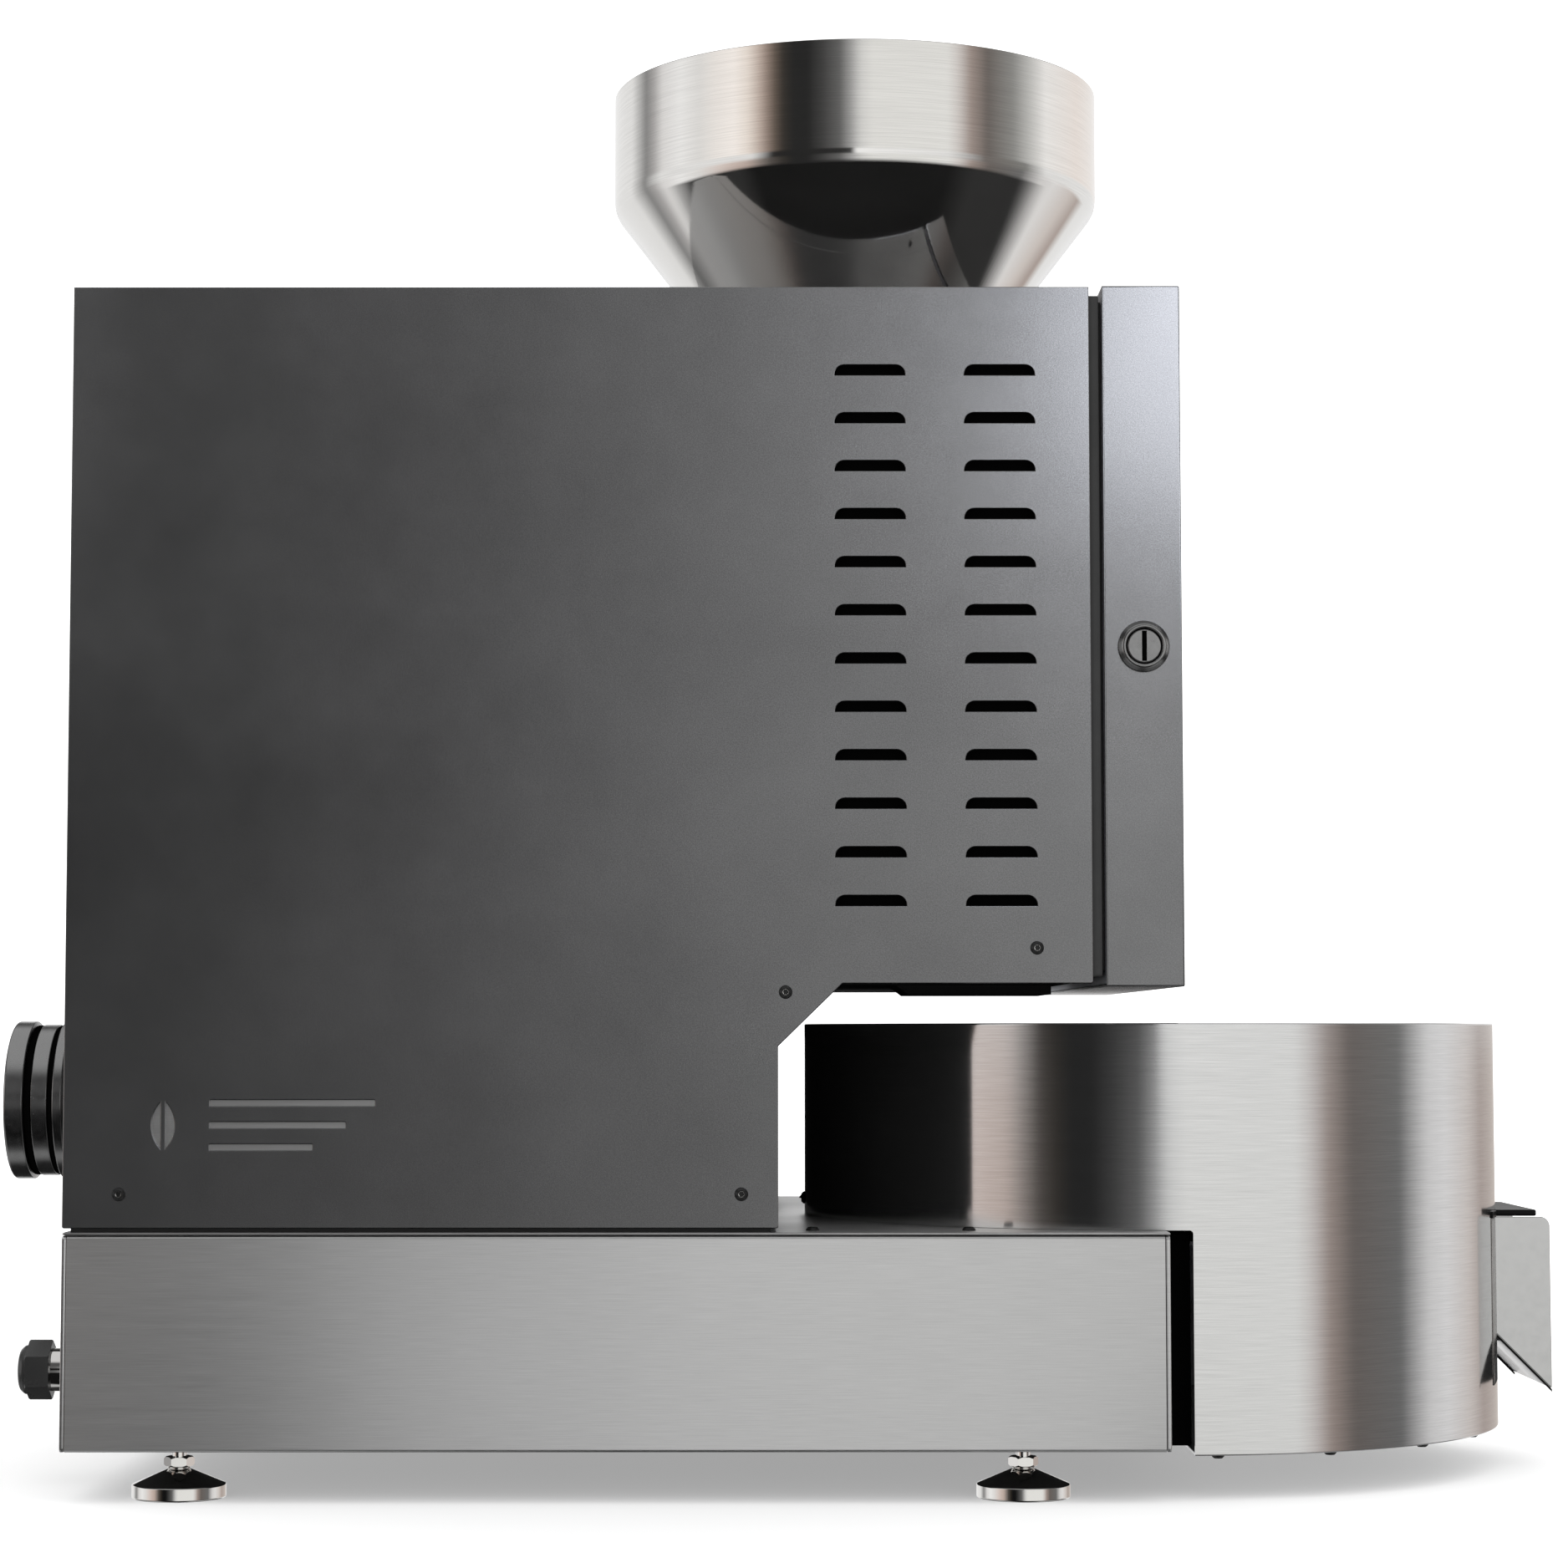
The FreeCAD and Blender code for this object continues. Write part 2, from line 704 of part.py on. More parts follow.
def faceplate():
    """The drum's front plate, with its bean inlet, sight hole and discharge hole."""
    axis = number(D.drum_axis)
    inlet = oblong(-32.0, 32.0, axis + 64.0, axis + 104.0)
    outlet = oblong(-44.0, 44.0, axis - 110.0, axis - 62.0)
    body = new_body("drum_faceplate")
    sketch = new_sketch(body, "YZ_Plane", D.faceplate_x)
    circle(sketch, 0.0, D.drum_axis, D.faceplate_radius)
    pad(body, sketch, D.plate_gauge)
    cuts = new_sketch(body, "YZ_Plane", D.faceplate_x)
    circle(cuts, 0.0, D.drum_axis, 30.0)
    outline(cuts, inlet)
    outline(cuts, outlet)
    pocket(body, cuts, D.plate_gauge, backwards=True)
    keep(body, "drum_faceplate")


def discharge_duct():
    """The sloped box that leads beans from the faceplate down through the cabinet's belly."""
    body = new_body("discharge_duct")
    sketch = new_sketch(body, "XZ_Plane")
    back = D.faceplate_x + D.plate_gauge + 0.1
    low = D.port_bottom
    corners = [(back, 298.0), (D.port_back, low), (D.port_front, low), (D.port_front, 320.0)]
    corners += [(500.0, 378.0), (back, 378.0)]
    outline(sketch, corners)
    pad(body, sketch, 2 * D.port_half_width, both_ways=True)
    hollow = new_sketch(body, "XZ_Plane")
    corners = [(back - 4.0, 302.9), (D.port_back + 3.5, low), (D.port_back + 3.5, low - 4.0)]
    corners += [(D.port_front - 1.5, low - 4.0), (D.port_front - 1.5, 319.4), (499.3, 376.5)]
    corners += [(back - 4.0, 376.5)]
    outline(hollow, corners)
    pocket(body, hollow, 2 * D.port_half_width - 3.0, both_ways=True)
    keep(body, "discharge_duct")


def discharge_flap():
    """A plate that hangs over the faceplate's discharge hole from a pin along its top edge."""
    body = new_body("discharge_flap")
    place(body, D.flap_axis_x, 0.0, D.flap_axis_z)
    sketch = new_sketch(body, "XZ_Plane")
    rectangle(sketch, -4.5, -1.5, -60.0, 0.5)
    pad(body, sketch, 99.0, both_ways=True)
    pin_sketch = new_sketch(body, "XZ_Plane")
    circle(pin_sketch, 0.0, 0.0, 3.0)
    pad(body, pin_sketch, 2 * D.port_half_width - 5.0, both_ways=True)
    keep(body, "discharge_flap")


# ---- roasting drum and its drive ----


def axis_body(name):
    """A body whose own X axis is the drum's axis of rotation."""
    return place(new_body(name), 0.0, 0.0, D.drum_axis)


def drum_jacket():
    """The fixed tube around the drum, with its rear plate and bearing housing welded on."""
    body = axis_body("drum_jacket")
    sketch = new_sketch(body, "XZ_Plane")
    x0 = D.rear_plate_x
    x1 = x0 + D.plate_gauge
    bore = D.bearing_radius
    outline(
        sketch,
        [
            (56.0, bore),
            (x1, bore),
            (x1, D.jacket_radius - D.gauge),
            (D.faceplate_x - 0.1, D.jacket_radius - D.gauge),
            (D.faceplate_x - 0.1, D.jacket_radius),
            (x1, D.jacket_radius),
            (x1, D.insulation_radius),
            (x0, D.insulation_radius),
            (x0, bore + 6.0),
            (56.0, bore + 6.0),
        ],
    )
    revolve(body, sketch, "H_Axis")
    keep(body, "drum_jacket")


def drum_insulation():
    body = axis_body("drum_insulation")
    sketch = new_sketch(body, "XZ_Plane")
    x0 = D.rear_plate_x + D.plate_gauge + 0.3
    rectangle(sketch, x0, D.faceplate_x - 0.3, D.jacket_radius + 0.3, D.insulation_radius)
    revolve(body, sketch, "H_Axis")
    keep(body, "drum_insulation")


def drum_shell():
    """The turning drum: rear wall, barrel, front lip and six mixing flights inside."""
    body = axis_body("drum_shell")
    sketch = new_sketch(body, "XZ_Plane")
    x0, x1 = D.drum_back, D.drum_front
    outer, inner = D.drum_radius, D.drum_radius - D.drum_gauge
    corners = [(x0, D.shaft_radius), (x0 + 5.0, D.shaft_radius), (x0 + 5.0, inner)]
    corners += [(x1 - D.drum_gauge, inner), (x1 - D.drum_gauge, 94.0), (x1, 94.0), (x1, outer), (x0, outer)]
    outline(sketch, corners)
    revolve(body, sketch, "H_Axis")
    flight = new_sketch(body, "XZ_Plane")
    rectangle(flight, x0 + 20.0, x1 - 14.0, 98.0, inner + 1.0)
    blade = pad(body, flight, 2.5, both_ways=True)
    around(body, [blade], "X_Axis", 6)
    keep(body, "drum_shell")


def drum_shaft():
    """The drum's rear shaft with the driven pulley keyed to it."""
    body = axis_body("drum_shaft")
    sketch = new_sketch(body, "XZ_Plane")
    x0 = D.pulley_x
    x1 = x0 + D.pulley_width
    rim, floor_radius = D.pulley_radius + 4.5, D.pulley_radius
    outline(
        sketch,
        [
            (x0 - 4.0, 0.0),
            (D.drum_back + 5.0, 0.0),
            (D.drum_back + 5.0, D.shaft_radius),
            (x1, D.shaft_radius),
            (x1, rim),
            (x1 - 1.6, rim),
            (x1 - 1.6, floor_radius),
            (x0 + 1.6, floor_radius),
            (x0 + 1.6, rim),
            (x0, rim),
            (x0, D.shaft_radius),
            (x0 - 4.0, D.shaft_radius),
        ],
    )
    revolve(body, sketch, "H_Axis")
    keep(body, "drum_shaft")


def drum_bearings():
    rings = []
    for x in (58.0, 88.0):
        outer = rod("race", D.bearing_radius, 12.0, x, 0.0, 0.0, ALONG_X)
        bore = rod("race_bore", D.shaft_radius + D.running_clearance, 20.0, x - 4.0, 0.0, 0.0, ALONG_X)
        rings.append(cut("bearing", outer, bore))
    keep(place(group("drum_bearings", rings), 0.0, 0.0, D.drum_axis), "drum_bearings")


def heater_elements():
    """Straight tubular elements along the lower half of the space between drum and jacket."""
    rods = []
    for turn in range(-150, -20, 20):
        y = 133.5 * math.cos(math.radians(turn))
        z = 133.5 * math.sin(math.radians(turn))
        rods.append(rod("element", 4.0, 280.0, 106.0, y, z, ALONG_X))
    keep(place(group("heater_elements", rods), 0.0, 0.0, D.drum_axis), "heater_elements")


def drum_motor():
    """The gearmotor's can, gearbox and boss; its shaft turns with the small pulley."""
    start = D.pulley_x + D.pulley_width + 8.0
    gearbox = rod("gearbox", D.motor_radius, 46.0, start, 0.0, 0.0, ALONG_X)
    can = rod("can", D.motor_radius - 5.0, 84.0, start + 46.0, 0.0, 0.0, ALONG_X)
    foot = block("motor_foot", start + 6.0, start + 40.0, -30.0, 30.0, -D.motor_z + 123.1, -30.0)
    bore = rod("gearbox_bore", 6.0 + D.running_clearance, 20.0, start - 4.0, 0.0, 0.0, ALONG_X)
    item = cut("drum_motor", fuse("motor_body", [gearbox, can, foot]), bore)
    keep(place(item, 0.0, D.motor_y, D.motor_z), "drum_motor")


def motor_pulley():
    body = place(new_body("motor_pulley"), 0.0, D.motor_y, D.motor_z)
    sketch = new_sketch(body, "XZ_Plane")
    x0 = D.pulley_x
    x1 = x0 + D.pulley_width
    rim, floor_radius = D.motor_pulley_radius + 4.5, D.motor_pulley_radius
    corners = [(x0, 0.0), (x1 + 22.0, 0.0), (x1 + 22.0, 6.0), (x1, 6.0), (x1, rim), (x1 - 1.6, rim)]
    corners += [(x1 - 1.6, floor_radius), (x0 + 1.6, floor_radius), (x0 + 1.6, rim), (x0, rim)]
    outline(sketch, corners)
    revolve(body, sketch, "H_Axis")
    keep(body, "motor_pulley")


def belt_loop(grow):
    """The belt's path around both pulleys, in the y-z plane, grown outwards by a distance."""
    axis = number(D.drum_axis)
    y, z = number(D.motor_y), number(D.motor_z) - axis
    big, small = number(D.pulley_radius) + grow, number(D.motor_pulley_radius) + grow
    span = math.hypot(y, z)
    heading = math.atan2(z, y)
    lean = math.acos((big - small) / span)
    points = []
    for turn in (heading + lean, heading - lean):
        points.append((big * math.cos(turn), big * math.sin(turn)))
        points.append((y + small * math.cos(turn), z + small * math.sin(turn)))
    (upper, upper_small, lower, lower_small) = points
    far = (-big * math.cos(heading), -big * math.sin(heading))
    return [(*upper, big), (*far, big), lower, (*lower_small, small), upper_small]


def drive_belt():
    body = axis_body("drive_belt")
    slack = 0.3
    sketch = new_sketch(body, "YZ_Plane", D.pulley_x + 2.0)
    for grow in (slack, slack + number(D.belt_gauge)):
        outline(sketch, belt_loop(grow))
    pad(body, sketch, D.pulley_width - 4.0)
    keep(body, "drive_belt")


# ---- exhaust ----


def fan(name, hub_radius, tip_radius, depth, blades, pitch):
    """An impeller on its own Z axis: a hub and flat blades set at a pitch."""
    hub = rod(name + "_hub", hub_radius, depth)
    shapes = [hub]
    for k in range(blades):
        turn = about((0, 0, 1), 360.0 * k / blades)
        lean = about((1, 0, 0), pitch)
        start = turn.multVec(FreeCAD.Vector(number(hub_radius) - 2.5, 0, depth / 2))
        blade = block(name + "_blade", 0.0, tip_radius - hub_radius + 2.0, 0.0, 2.0, 0.0, depth * 0.8)
        offset = lean.multVec(FreeCAD.Vector(0, -1.0, -depth * 0.4))
        spot = start + turn.multVec(offset)
        blade.Placement = FreeCAD.Placement(spot, turn.multiply(lean))
        shapes.append(blade)
    return fuse(name, shapes)


def exhaust():
    """The round fan duct behind the rear panel, its impeller and the spigot that a hose slips over."""
    axis = D.exhaust_axis
    outer = rod("duct_outer", D.fan_housing_radius, 100.0, 8.0, 0.0, 0.0, ALONG_X)
    inner = rod("duct_inner", D.fan_housing_radius - 2.0, 120.0, 0.0, 0.0, 0.0, ALONG_X)
    tube = cut("duct_tube", outer, inner)
    struts = []
    for k in range(3):
        turn = about((1, 0, 0), 120.0 * k)
        strut = block("strut", 92.0, 96.0, -2.0, 2.0, 15.0, D.fan_housing_radius - 1.0)
        strut.Placement = FreeCAD.Placement(turn.multVec(strut.Placement.Base), turn)
        struts.append(strut)
    can = rod("fan_motor_can", 20.0, 26.0, 82.0, 0.0, 0.0, ALONG_X)
    housing = fuse("exhaust_fan_housing", [tube, can] + struts)
    keep(place(housing, 0.0, 0.0, axis), "exhaust_fan_housing")
    impeller = fan("exhaust_fan_impeller", 18.0, 46.5, 24.0, 7, 38.0)
    keep(place(impeller, 54.0, 0.0, axis, ALONG_X), "exhaust_fan_impeller")
    body = place(new_body("exhaust_spigot"), 0.0, 0.0, axis)
    sketch = new_sketch(body, "XZ_Plane")
    reach, rim, bore = D.spigot_reach, D.spigot_radius, D.spigot_bore
    outline(
        sketch,
        [
            (-reach, bore),
            (12.0, bore),
            (12.0, 45.6),
            (0.0, 45.6),
            (0.0, rim),
            (-6.0, rim),
            (-6.0, rim - 2.5),
            (-28.0, rim - 2.5),
            (-31.0, rim),
            (-42.0, rim),
            (-42.0, rim - 2.5),
            (-52.0, rim - 2.5),
            (-52.0, rim),
            (2.0 - reach, rim),
            (-reach, rim - 2.0),
        ],
    )
    revolve(body, sketch, "H_Axis")
    keep(body, "exhaust_spigot")


def cable_gland():
    """A panel gland in two pieces: the hexagon body with its thread, and the domed cap."""
    body = place(new_body("cable_gland"), 0.0, D.gland_y, D.gland_height)
    flange = new_sketch(body, "YZ_Plane", -9.0)
    hexagon(flange, 0.0, 0.0, D.gland_flats)
    pad(body, flange, 9.0)
    nut = new_sketch(body, "YZ_Plane", D.base_rear_gauge)
    hexagon(nut, 0.0, 0.0, D.gland_flats)
    pad(body, nut, 6.0)
    for start, length, radius in ((-14.0, 5.5, 12.2), (-0.5, 16.0, 12.5)):
        neck = new_sketch(body, "YZ_Plane", start)
        circle(neck, 0.0, 0.0, radius)
        pad(body, neck, length)
    bore = new_sketch(body, "YZ_Plane", -20.0)
    circle(bore, 0.0, 0.0, D.gland_bore)
    pocket(body, bore, 60.0, backwards=True)
    keep(body, "cable_gland")
    cap = place(new_body("gland_cap"), 0.0, D.gland_y, D.gland_height)
    grip = new_sketch(cap, "YZ_Plane", -40.0)
    hexagon(grip, 0.0, 0.0, D.gland_flats)
    pad(cap, grip, 17.0)
    collar = new_sketch(cap, "YZ_Plane", -23.5)
    circle(collar, 0.0, 0.0, 12.2)
    pad(cap, collar, 9.5)
    dome = new_sketch(cap, "XZ_Plane")
    dome_corners = [(-39.5, 6.0), (-39.5, 13.6), (-40.5, 13.6, 6.0), (-D.gland_reach, 9.0)]
    outline(dome, dome_corners + [(-D.gland_reach, 6.0)])
    revolve(cap, dome, "H_Axis")
    hole = new_sketch(cap, "YZ_Plane", -50.0)
    circle(hole, 0.0, 0.0, D.gland_bore)
    pocket(cap, hole, 60.0, backwards=True)
    keep(cap, "gland_cap")


# ---- door, hinges and lock ----


def door():
    half = D.half_width
    low, high = D.door_bottom, D.door_top
    gauge = D.gauge
    shell = new_body("door_shell")
    sketch = new_sketch(shell, "YZ_Plane", D.door_back)
    rectangle(sketch, -half, half, low, high)
    pad(shell, sketch, D.door_depth)
    hollow = new_sketch(shell, "YZ_Plane", D.door_back)
    rectangle(hollow, gauge - half, half - gauge, low + gauge, high - gauge)
    pocket(shell, hollow, D.door_depth - gauge, backwards=True)
    window = new_sketch(shell, "YZ_Plane", D.door_back)
    circle(window, 0.0, D.drum_axis, 55.0)
    pocket(shell, window, D.door_depth, backwards=True)
    barrel = new_sketch(shell, "XZ_Plane", half - gauge)
    circle(barrel, D.lock_x, D.lock_height, 11.6)
    pocket(shell, barrel, gauge + 4.0, both_ways=True)
    keep(shell, "door_shell")
    inside = half - gauge - 0.2
    slot_y = D.cam_depth - half
    cam_slot = oblong(slot_y - 3.2, slot_y + 3.2, D.lock_height - 10.0, D.lock_height + 36.0)
    liner = oblong(-inside, inside, low + gauge + 0.2, high - gauge - 0.2)
    sight_hole = (0.0, D.drum_axis, 50.0)
    plate("door_liner", "YZ_Plane", D.door_back, gauge, liner, [sight_hole, cam_slot])
    block_y = D.half_width - 34.0
    wool = block(
        "wool", D.door_back + 2.0, D.door_back + D.door_depth - 2.0, -block_y, inside, low + 3.0, high - 3.0
    )
    sight = rod("wool_hole", 57.0, 60.0, D.door_back - 5.0, 0.0, D.drum_axis, ALONG_X)
    keep(place(cut("door_insulation", wool, sight)), "door_insulation")
    glass = rod("sight_glass", 54.8, 6.0, 0.0, 0.0, 0.0, ALONG_X)
    place(glass, D.door_back + D.door_depth - 6.2, 0.0, D.drum_axis, ALONG_X)
    keep(glass, "sight_glass")


def hinge(side, z):
    """One leaf: its plate against the side sheet and its knuckles around the hinge line."""
    y0 = D.half_width + 0.02
    y1 = y0 + D.leaf_gauge
    radius, bore = D.knuckle_radius, D.hinge_pin_radius + D.running_clearance
    long_way = D.hinge_length
    middle = (long_way / 4, 3 * long_way / 4)
    if side == "fixed":
        leaf = block("leaf", D.hinge_x - 36.0, D.hinge_x - 4.1, y0, y1, z, z + long_way)
        spans = ((0.0, middle[0] - 0.3), (middle[1] + 0.3, long_way))
        reach = (D.hinge_x - 5.0, D.hinge_x - 1.9)
    else:
        leaf = block("leaf", D.hinge_x + 4.1, D.hinge_x + 36.0, y0, y1, z, z + long_way)
        spans = (middle,)
        reach = (D.hinge_x + 1.9, D.hinge_x + 5.0)
    shapes = [leaf]
    for start, end in spans:
        shapes.append(rod("knuckle", radius, end - start, D.hinge_x, y1, z + start))
        shapes.append(block("web", reach[0], reach[1], y1 - D.leaf_gauge, y1, z + start, z + end))
    body = fuse("leaf_body", shapes)
    drill = rod("knuckle_bore", bore, long_way + 10.0, D.hinge_x, y1, z - 5.0)
    return cut("hinge_leaf", body, drill)


def hinges():
    heights = (320.0, 540.0)
    y = D.half_width + D.leaf_gauge + 0.02
    fixed = []
    for z in heights:
        fixed.append(hinge("fixed", z))
        fixed.append(rod("hinge_pin", D.hinge_pin_radius, D.hinge_length, D.hinge_x, y, z))
    keep(place(group("hinge_fixed", fixed)), "hinge_fixed")
    keep(place(group("hinge_door", [hinge("door", z) for z in heights])), "hinge_door")


def lock():
    """A quarter-turn lock: a ring in the door's side, and a slotted core with its cam."""
    face = D.half_width
    ring = place(new_body("lock_bezel"), D.lock_x, 0.0, D.lock_height, ALONG_Y)
    sketch = new_sketch(ring, "XZ_Plane")
    bore = D.lock_core_radius + D.running_clearance
    edge = D.lock_radius
    corners = [(bore, -face + 19.0), (bore, -face - 3.4), (bore + 1.2, -face - 4.4)]
    corners += [(edge - 1.6, -face - 4.4), (edge, -face - 2.2), (edge, -face)]
    corners += [(11.5, -face), (11.5, -face + 19.0)]
    outline(sketch, corners)
    revolve(ring, sketch)
    keep(ring, "lock_bezel")
    core = rod("core", D.lock_core_radius, 24.0, 0.0, -face - 3.6, 0.0, ALONG_Y)
    driver = block("driver", -1.3, 1.3, -face - 6.0, -face - 1.8, -11.0, 11.0)
    cam_y = D.cam_depth - face
    cam = block("cam", -6.0, 6.0, cam_y - 1.2, cam_y + 1.3, -7.0, D.cam_reach)
    item = fuse("lock_core", [cut("slotted_core", core, driver), cam])
    keep(place(item, D.lock_x, 0.0, D.lock_height), "lock_core")


# ---- cooling tray ----


def tray_body(name):
    return place(new_body(name), D.tray_x, 0.0, 0.0)


def tray_skirt():
    """The tray's wall. Its front half runs down as a skirt, and its rear half stands on the deck."""
    body = tray_body("tray_skirt")
    sketch = new_sketch(body, "XY_Plane", D.skirt_bottom)
    circle(sketch, 0.0, 0.0, D.tray_radius)
    circle(sketch, 0.0, 0.0, D.tray_radius - D.gauge)
    pad(body, sketch, D.tray_rim - D.skirt_bottom)
    hem = new_sketch(body, "XY_Plane", D.tray_rim - 3.0)
    circle(hem, 0.0, 0.0, D.tray_radius - 0.5)
    circle(hem, 0.0, 0.0, D.tray_radius - 3.0)
    pad(body, hem, 3.0)
    step = new_sketch(body, "XZ_Plane")
    deck_top = D.deck_under + D.deck_gauge + 0.2
    rectangle(step, -230.0, D.skirt_split - D.tray_x, D.skirt_bottom - 5.0, deck_top)
    pocket(body, step, 460.0, both_ways=True)
    mouth = new_sketch(body, "YZ_Plane", 150.0)
    half = D.chute_half_width + 0.3
    rectangle(mouth, -half, half, 41.8, D.chute_top + D.gate_plate_gauge + 0.8)
    pocket(body, mouth, 80.0, backwards=True)
    rear_hole = new_sketch(body, "YZ_Plane", -230.0)
    circle(rear_hole, 0.0, D.tray_screw_height, D.screw_shank_radius)
    pocket(body, rear_hole, 60.0, backwards=True)
    keep(body, "tray_skirt")


def cooling_screen():
    """The perforated floor that the beans lie on, with the outlet that the gate plate closes."""
    body = tray_body("cooling_screen")
    sketch = new_sketch(body, "XY_Plane", D.screen_height)
    circle(sketch, 0.0, 0.0, D.tray_radius - D.gauge - 0.3)
    pad(body, sketch, D.screen_gauge)
    holes = new_sketch(body, "XY_Plane", D.screen_height)
    for k in range(8):
        circle(holes, 40.0 + 20.0 * k, 0.0, 2.6)
    made = pocket(body, holes, D.screen_gauge, backwards=True)
    around(body, [made], "Z_Axis", 36)
    outlet = new_sketch(body, "XY_Plane", D.screen_height)
    half = D.outlet_half_width
    rectangle(outlet, D.outlet_back - D.tray_x, D.outlet_front - D.tray_x, -half, half)
    circle(outlet, 0.0, 0.0, 11.0)
    pocket(body, outlet, D.screen_gauge, backwards=True)
    keep(body, "cooling_screen")


def tray_bottom():
    """The half-round sheet that closes the skirt below, and the dark spacer between base and skirt."""
    body = tray_body("tray_bottom_plate")
    radius = D.tray_radius - D.gauge - 0.3
    start = number(D.skirt_split - D.tray_x) + 0.2
    half = math.sqrt(number(radius) ** 2 - start * start)
    sketch = new_sketch(body, "XY_Plane", D.skirt_bottom)
    outline(sketch, [(start, half), (start, -half, radius)])
    pad(body, sketch, D.gauge)
    cuts = new_sketch(body, "XY_Plane", D.skirt_bottom)
    for x, y in skirt_screw_spots():
        circle(cuts, x, y, D.screw_shank_radius)
    pocket(body, cuts, D.gauge, backwards=True)
    keep(body, "tray_bottom_plate")
    spacer = block("spacer", D.base_front + 0.1, D.skirt_split - 0.1, -192.0, 192.0, 0.0, D.base_height)
    well = rod("spacer_well", 40.0, 130.0, D.tray_x, 0.0, 14.0)
    keep(place(cut("tray_spacer", spacer, well)), "tray_spacer")


def skirt_screw_spots():
    """Screw places around the bottom sheet's edge, from the tray's centre."""
    turns = [math.radians(side * a) for a in (28.0, 46.0, 66.0, 85.0) for side in (LEFT, RIGHT)]
    reach = number(D.tray_radius) - 6.5
    return [(reach * math.cos(t), reach * math.sin(t)) for t in turns]


def agitator():
    """A hub with four arms that sweep the beans round the screen, each with two slanted ploughs."""
    floor_z = D.screen_height + D.screen_gauge
    shapes = [rod("hub", 17.0, 34.0, 0.0, 0.0, floor_z + 1.0), rod("stem", 8.0, 30.0, 0.0, 0.0, 102.0)]
    for k in range(4):
        turn = about((0, 0, 1), 90.0 * k + 25.0)
        arm = block("arm", 12.0, D.agitator_radius, -3.0, 3.0, 0.0, 10.0)
        arm.Placement = FreeCAD.Placement(
            turn.multVec(FreeCAD.Vector(12.0, -3.0, number(floor_z) + 20.0)), turn
        )
        shapes.append(arm)
        for reach in (70.0 + 12.0 * k, 150.0 + 8.0 * k):
            plough = block("plough", 0.0, 44.0, -1.5, 1.5, 0.0, 26.0)
            tilt = turn.multiply(about((0, 0, 1), 35.0))
            middle = turn.multVec(FreeCAD.Vector(reach - 18.0, -8.0, number(floor_z) + 1.5))
            plough.Placement = FreeCAD.Placement(middle, tilt)
            shapes.append(plough)
    keep(place(fuse("agitator_arms", shapes), D.tray_x, 0.0, 0.0), "agitator_arms")
    gearbox = rod("agitator_gearbox", 34.0, 32.0, 0.0, 0.0, 68.0)
    can = rod("agitator_can", 28.0, 54.0, 0.0, 0.0, 16.0)
    bore = rod("agitator_bore", 8.0 + D.running_clearance, 20.0, 0.0, 0.0, 90.0)
    shaft_room = cut("agitator_motor", fuse("agitator_motor_body", [gearbox, can]), bore)
    keep(place(shaft_room, D.tray_x, 0.0, 0.0), "agitator_motor")


def tray_chute():
    """The spout: a 45 degree trough through the skirt, with side cheeks and a curved fixing flange."""
    body = tray_body("tray_chute")
    back = D.chute_back - D.tray_x
    tip = D.chute_tip - D.tray_x
    top = D.chute_top
    drop = tip - back
    sketch = new_sketch(body, "XZ_Plane")
    outline(sketch, [(back, top), (tip, top - drop), (tip, top - 6.0), (tip - 6.0, top)])
    pad(body, sketch, 2 * D.chute_half_width, both_ways=True)
    hollow = new_sketch(body, "XZ_Plane")
    corners = [(back + 1.7, top + 0.02), (tip + 5.0, top - drop - 3.3), (tip + 5.0, top + 0.02)]
    outline(hollow, corners)
    pocket(body, hollow, 2 * D.chute_half_width - 2.4, both_ways=True)
    for side in (LEFT, RIGHT):
        inner, outer = number(D.tray_radius) + 0.05, number(D.tray_radius) + 1.25
        near, far = number(D.chute_half_width) - 0.6, number(D.chute_half_width) + 17.0
        spots = [(math.sqrt(r * r - y * y), side * y) for r, y in
                 ((inner, near), (outer, near), (outer, far), (inner, far))]
        flange = new_sketch(body, "XY_Plane", 36.0)
        a, b, c, d = spots
        outline(flange, [a, (b[0], b[1], side * outer), c, (d[0], d[1], -side * inner)])
        pad(body, flange, top - 36.0)
    keep(body, "tray_chute")


def tray_gate():
    """The flat plate that closes the outlet; its front end is the pull."""
    high = D.chute_top + 0.35
    item = block("tray_gate", D.gate_plate_back, D.gate_plate_front, -52.0, 52.0, 0.0, D.gate_plate_gauge)
    keep(place(item, D.gate_plate_back, -52.0, high), "tray_gate")


def cooling_fan():
    """The blower in the base: a round casing with its inlet on top, and a radial impeller."""
    radius = D.cooling_fan_radius
    body = place(new_body("cooling_fan_housing"), D.cooling_fan_x, 0.0, 0.0)
    sketch = new_sketch(body, "XY_Plane", 6.0)
    circle(sketch, 0.0, 0.0, radius)
    pad(body, sketch, 72.0)
    hollow = new_sketch(body, "XY_Plane", 8.0)
    circle(hollow, 0.0, 0.0, radius - 2.0)
    pocket(body, hollow, 68.0, backwards=True)
    inlet = new_sketch(body, "XY_Plane", 70.0)
    circle(inlet, 0.0, 0.0, 46.0)
    pocket(body, inlet, 20.0, backwards=True)
    outlet = new_sketch(body, "YZ_Plane", -number(radius) - 5.0)
    rectangle(outlet, -34.0, 34.0, 14.0, 70.0)
    pocket(body, outlet, 30.0, backwards=True)
    keep(body, "cooling_fan_housing")
    wheel = fan("cooling_fan_impeller", 22.0, 66.0, 44.0, 9, 0.0)
    keep(place(wheel, D.cooling_fan_x, 0.0, 20.0), "cooling_fan_impeller")


# ---- electrics ----


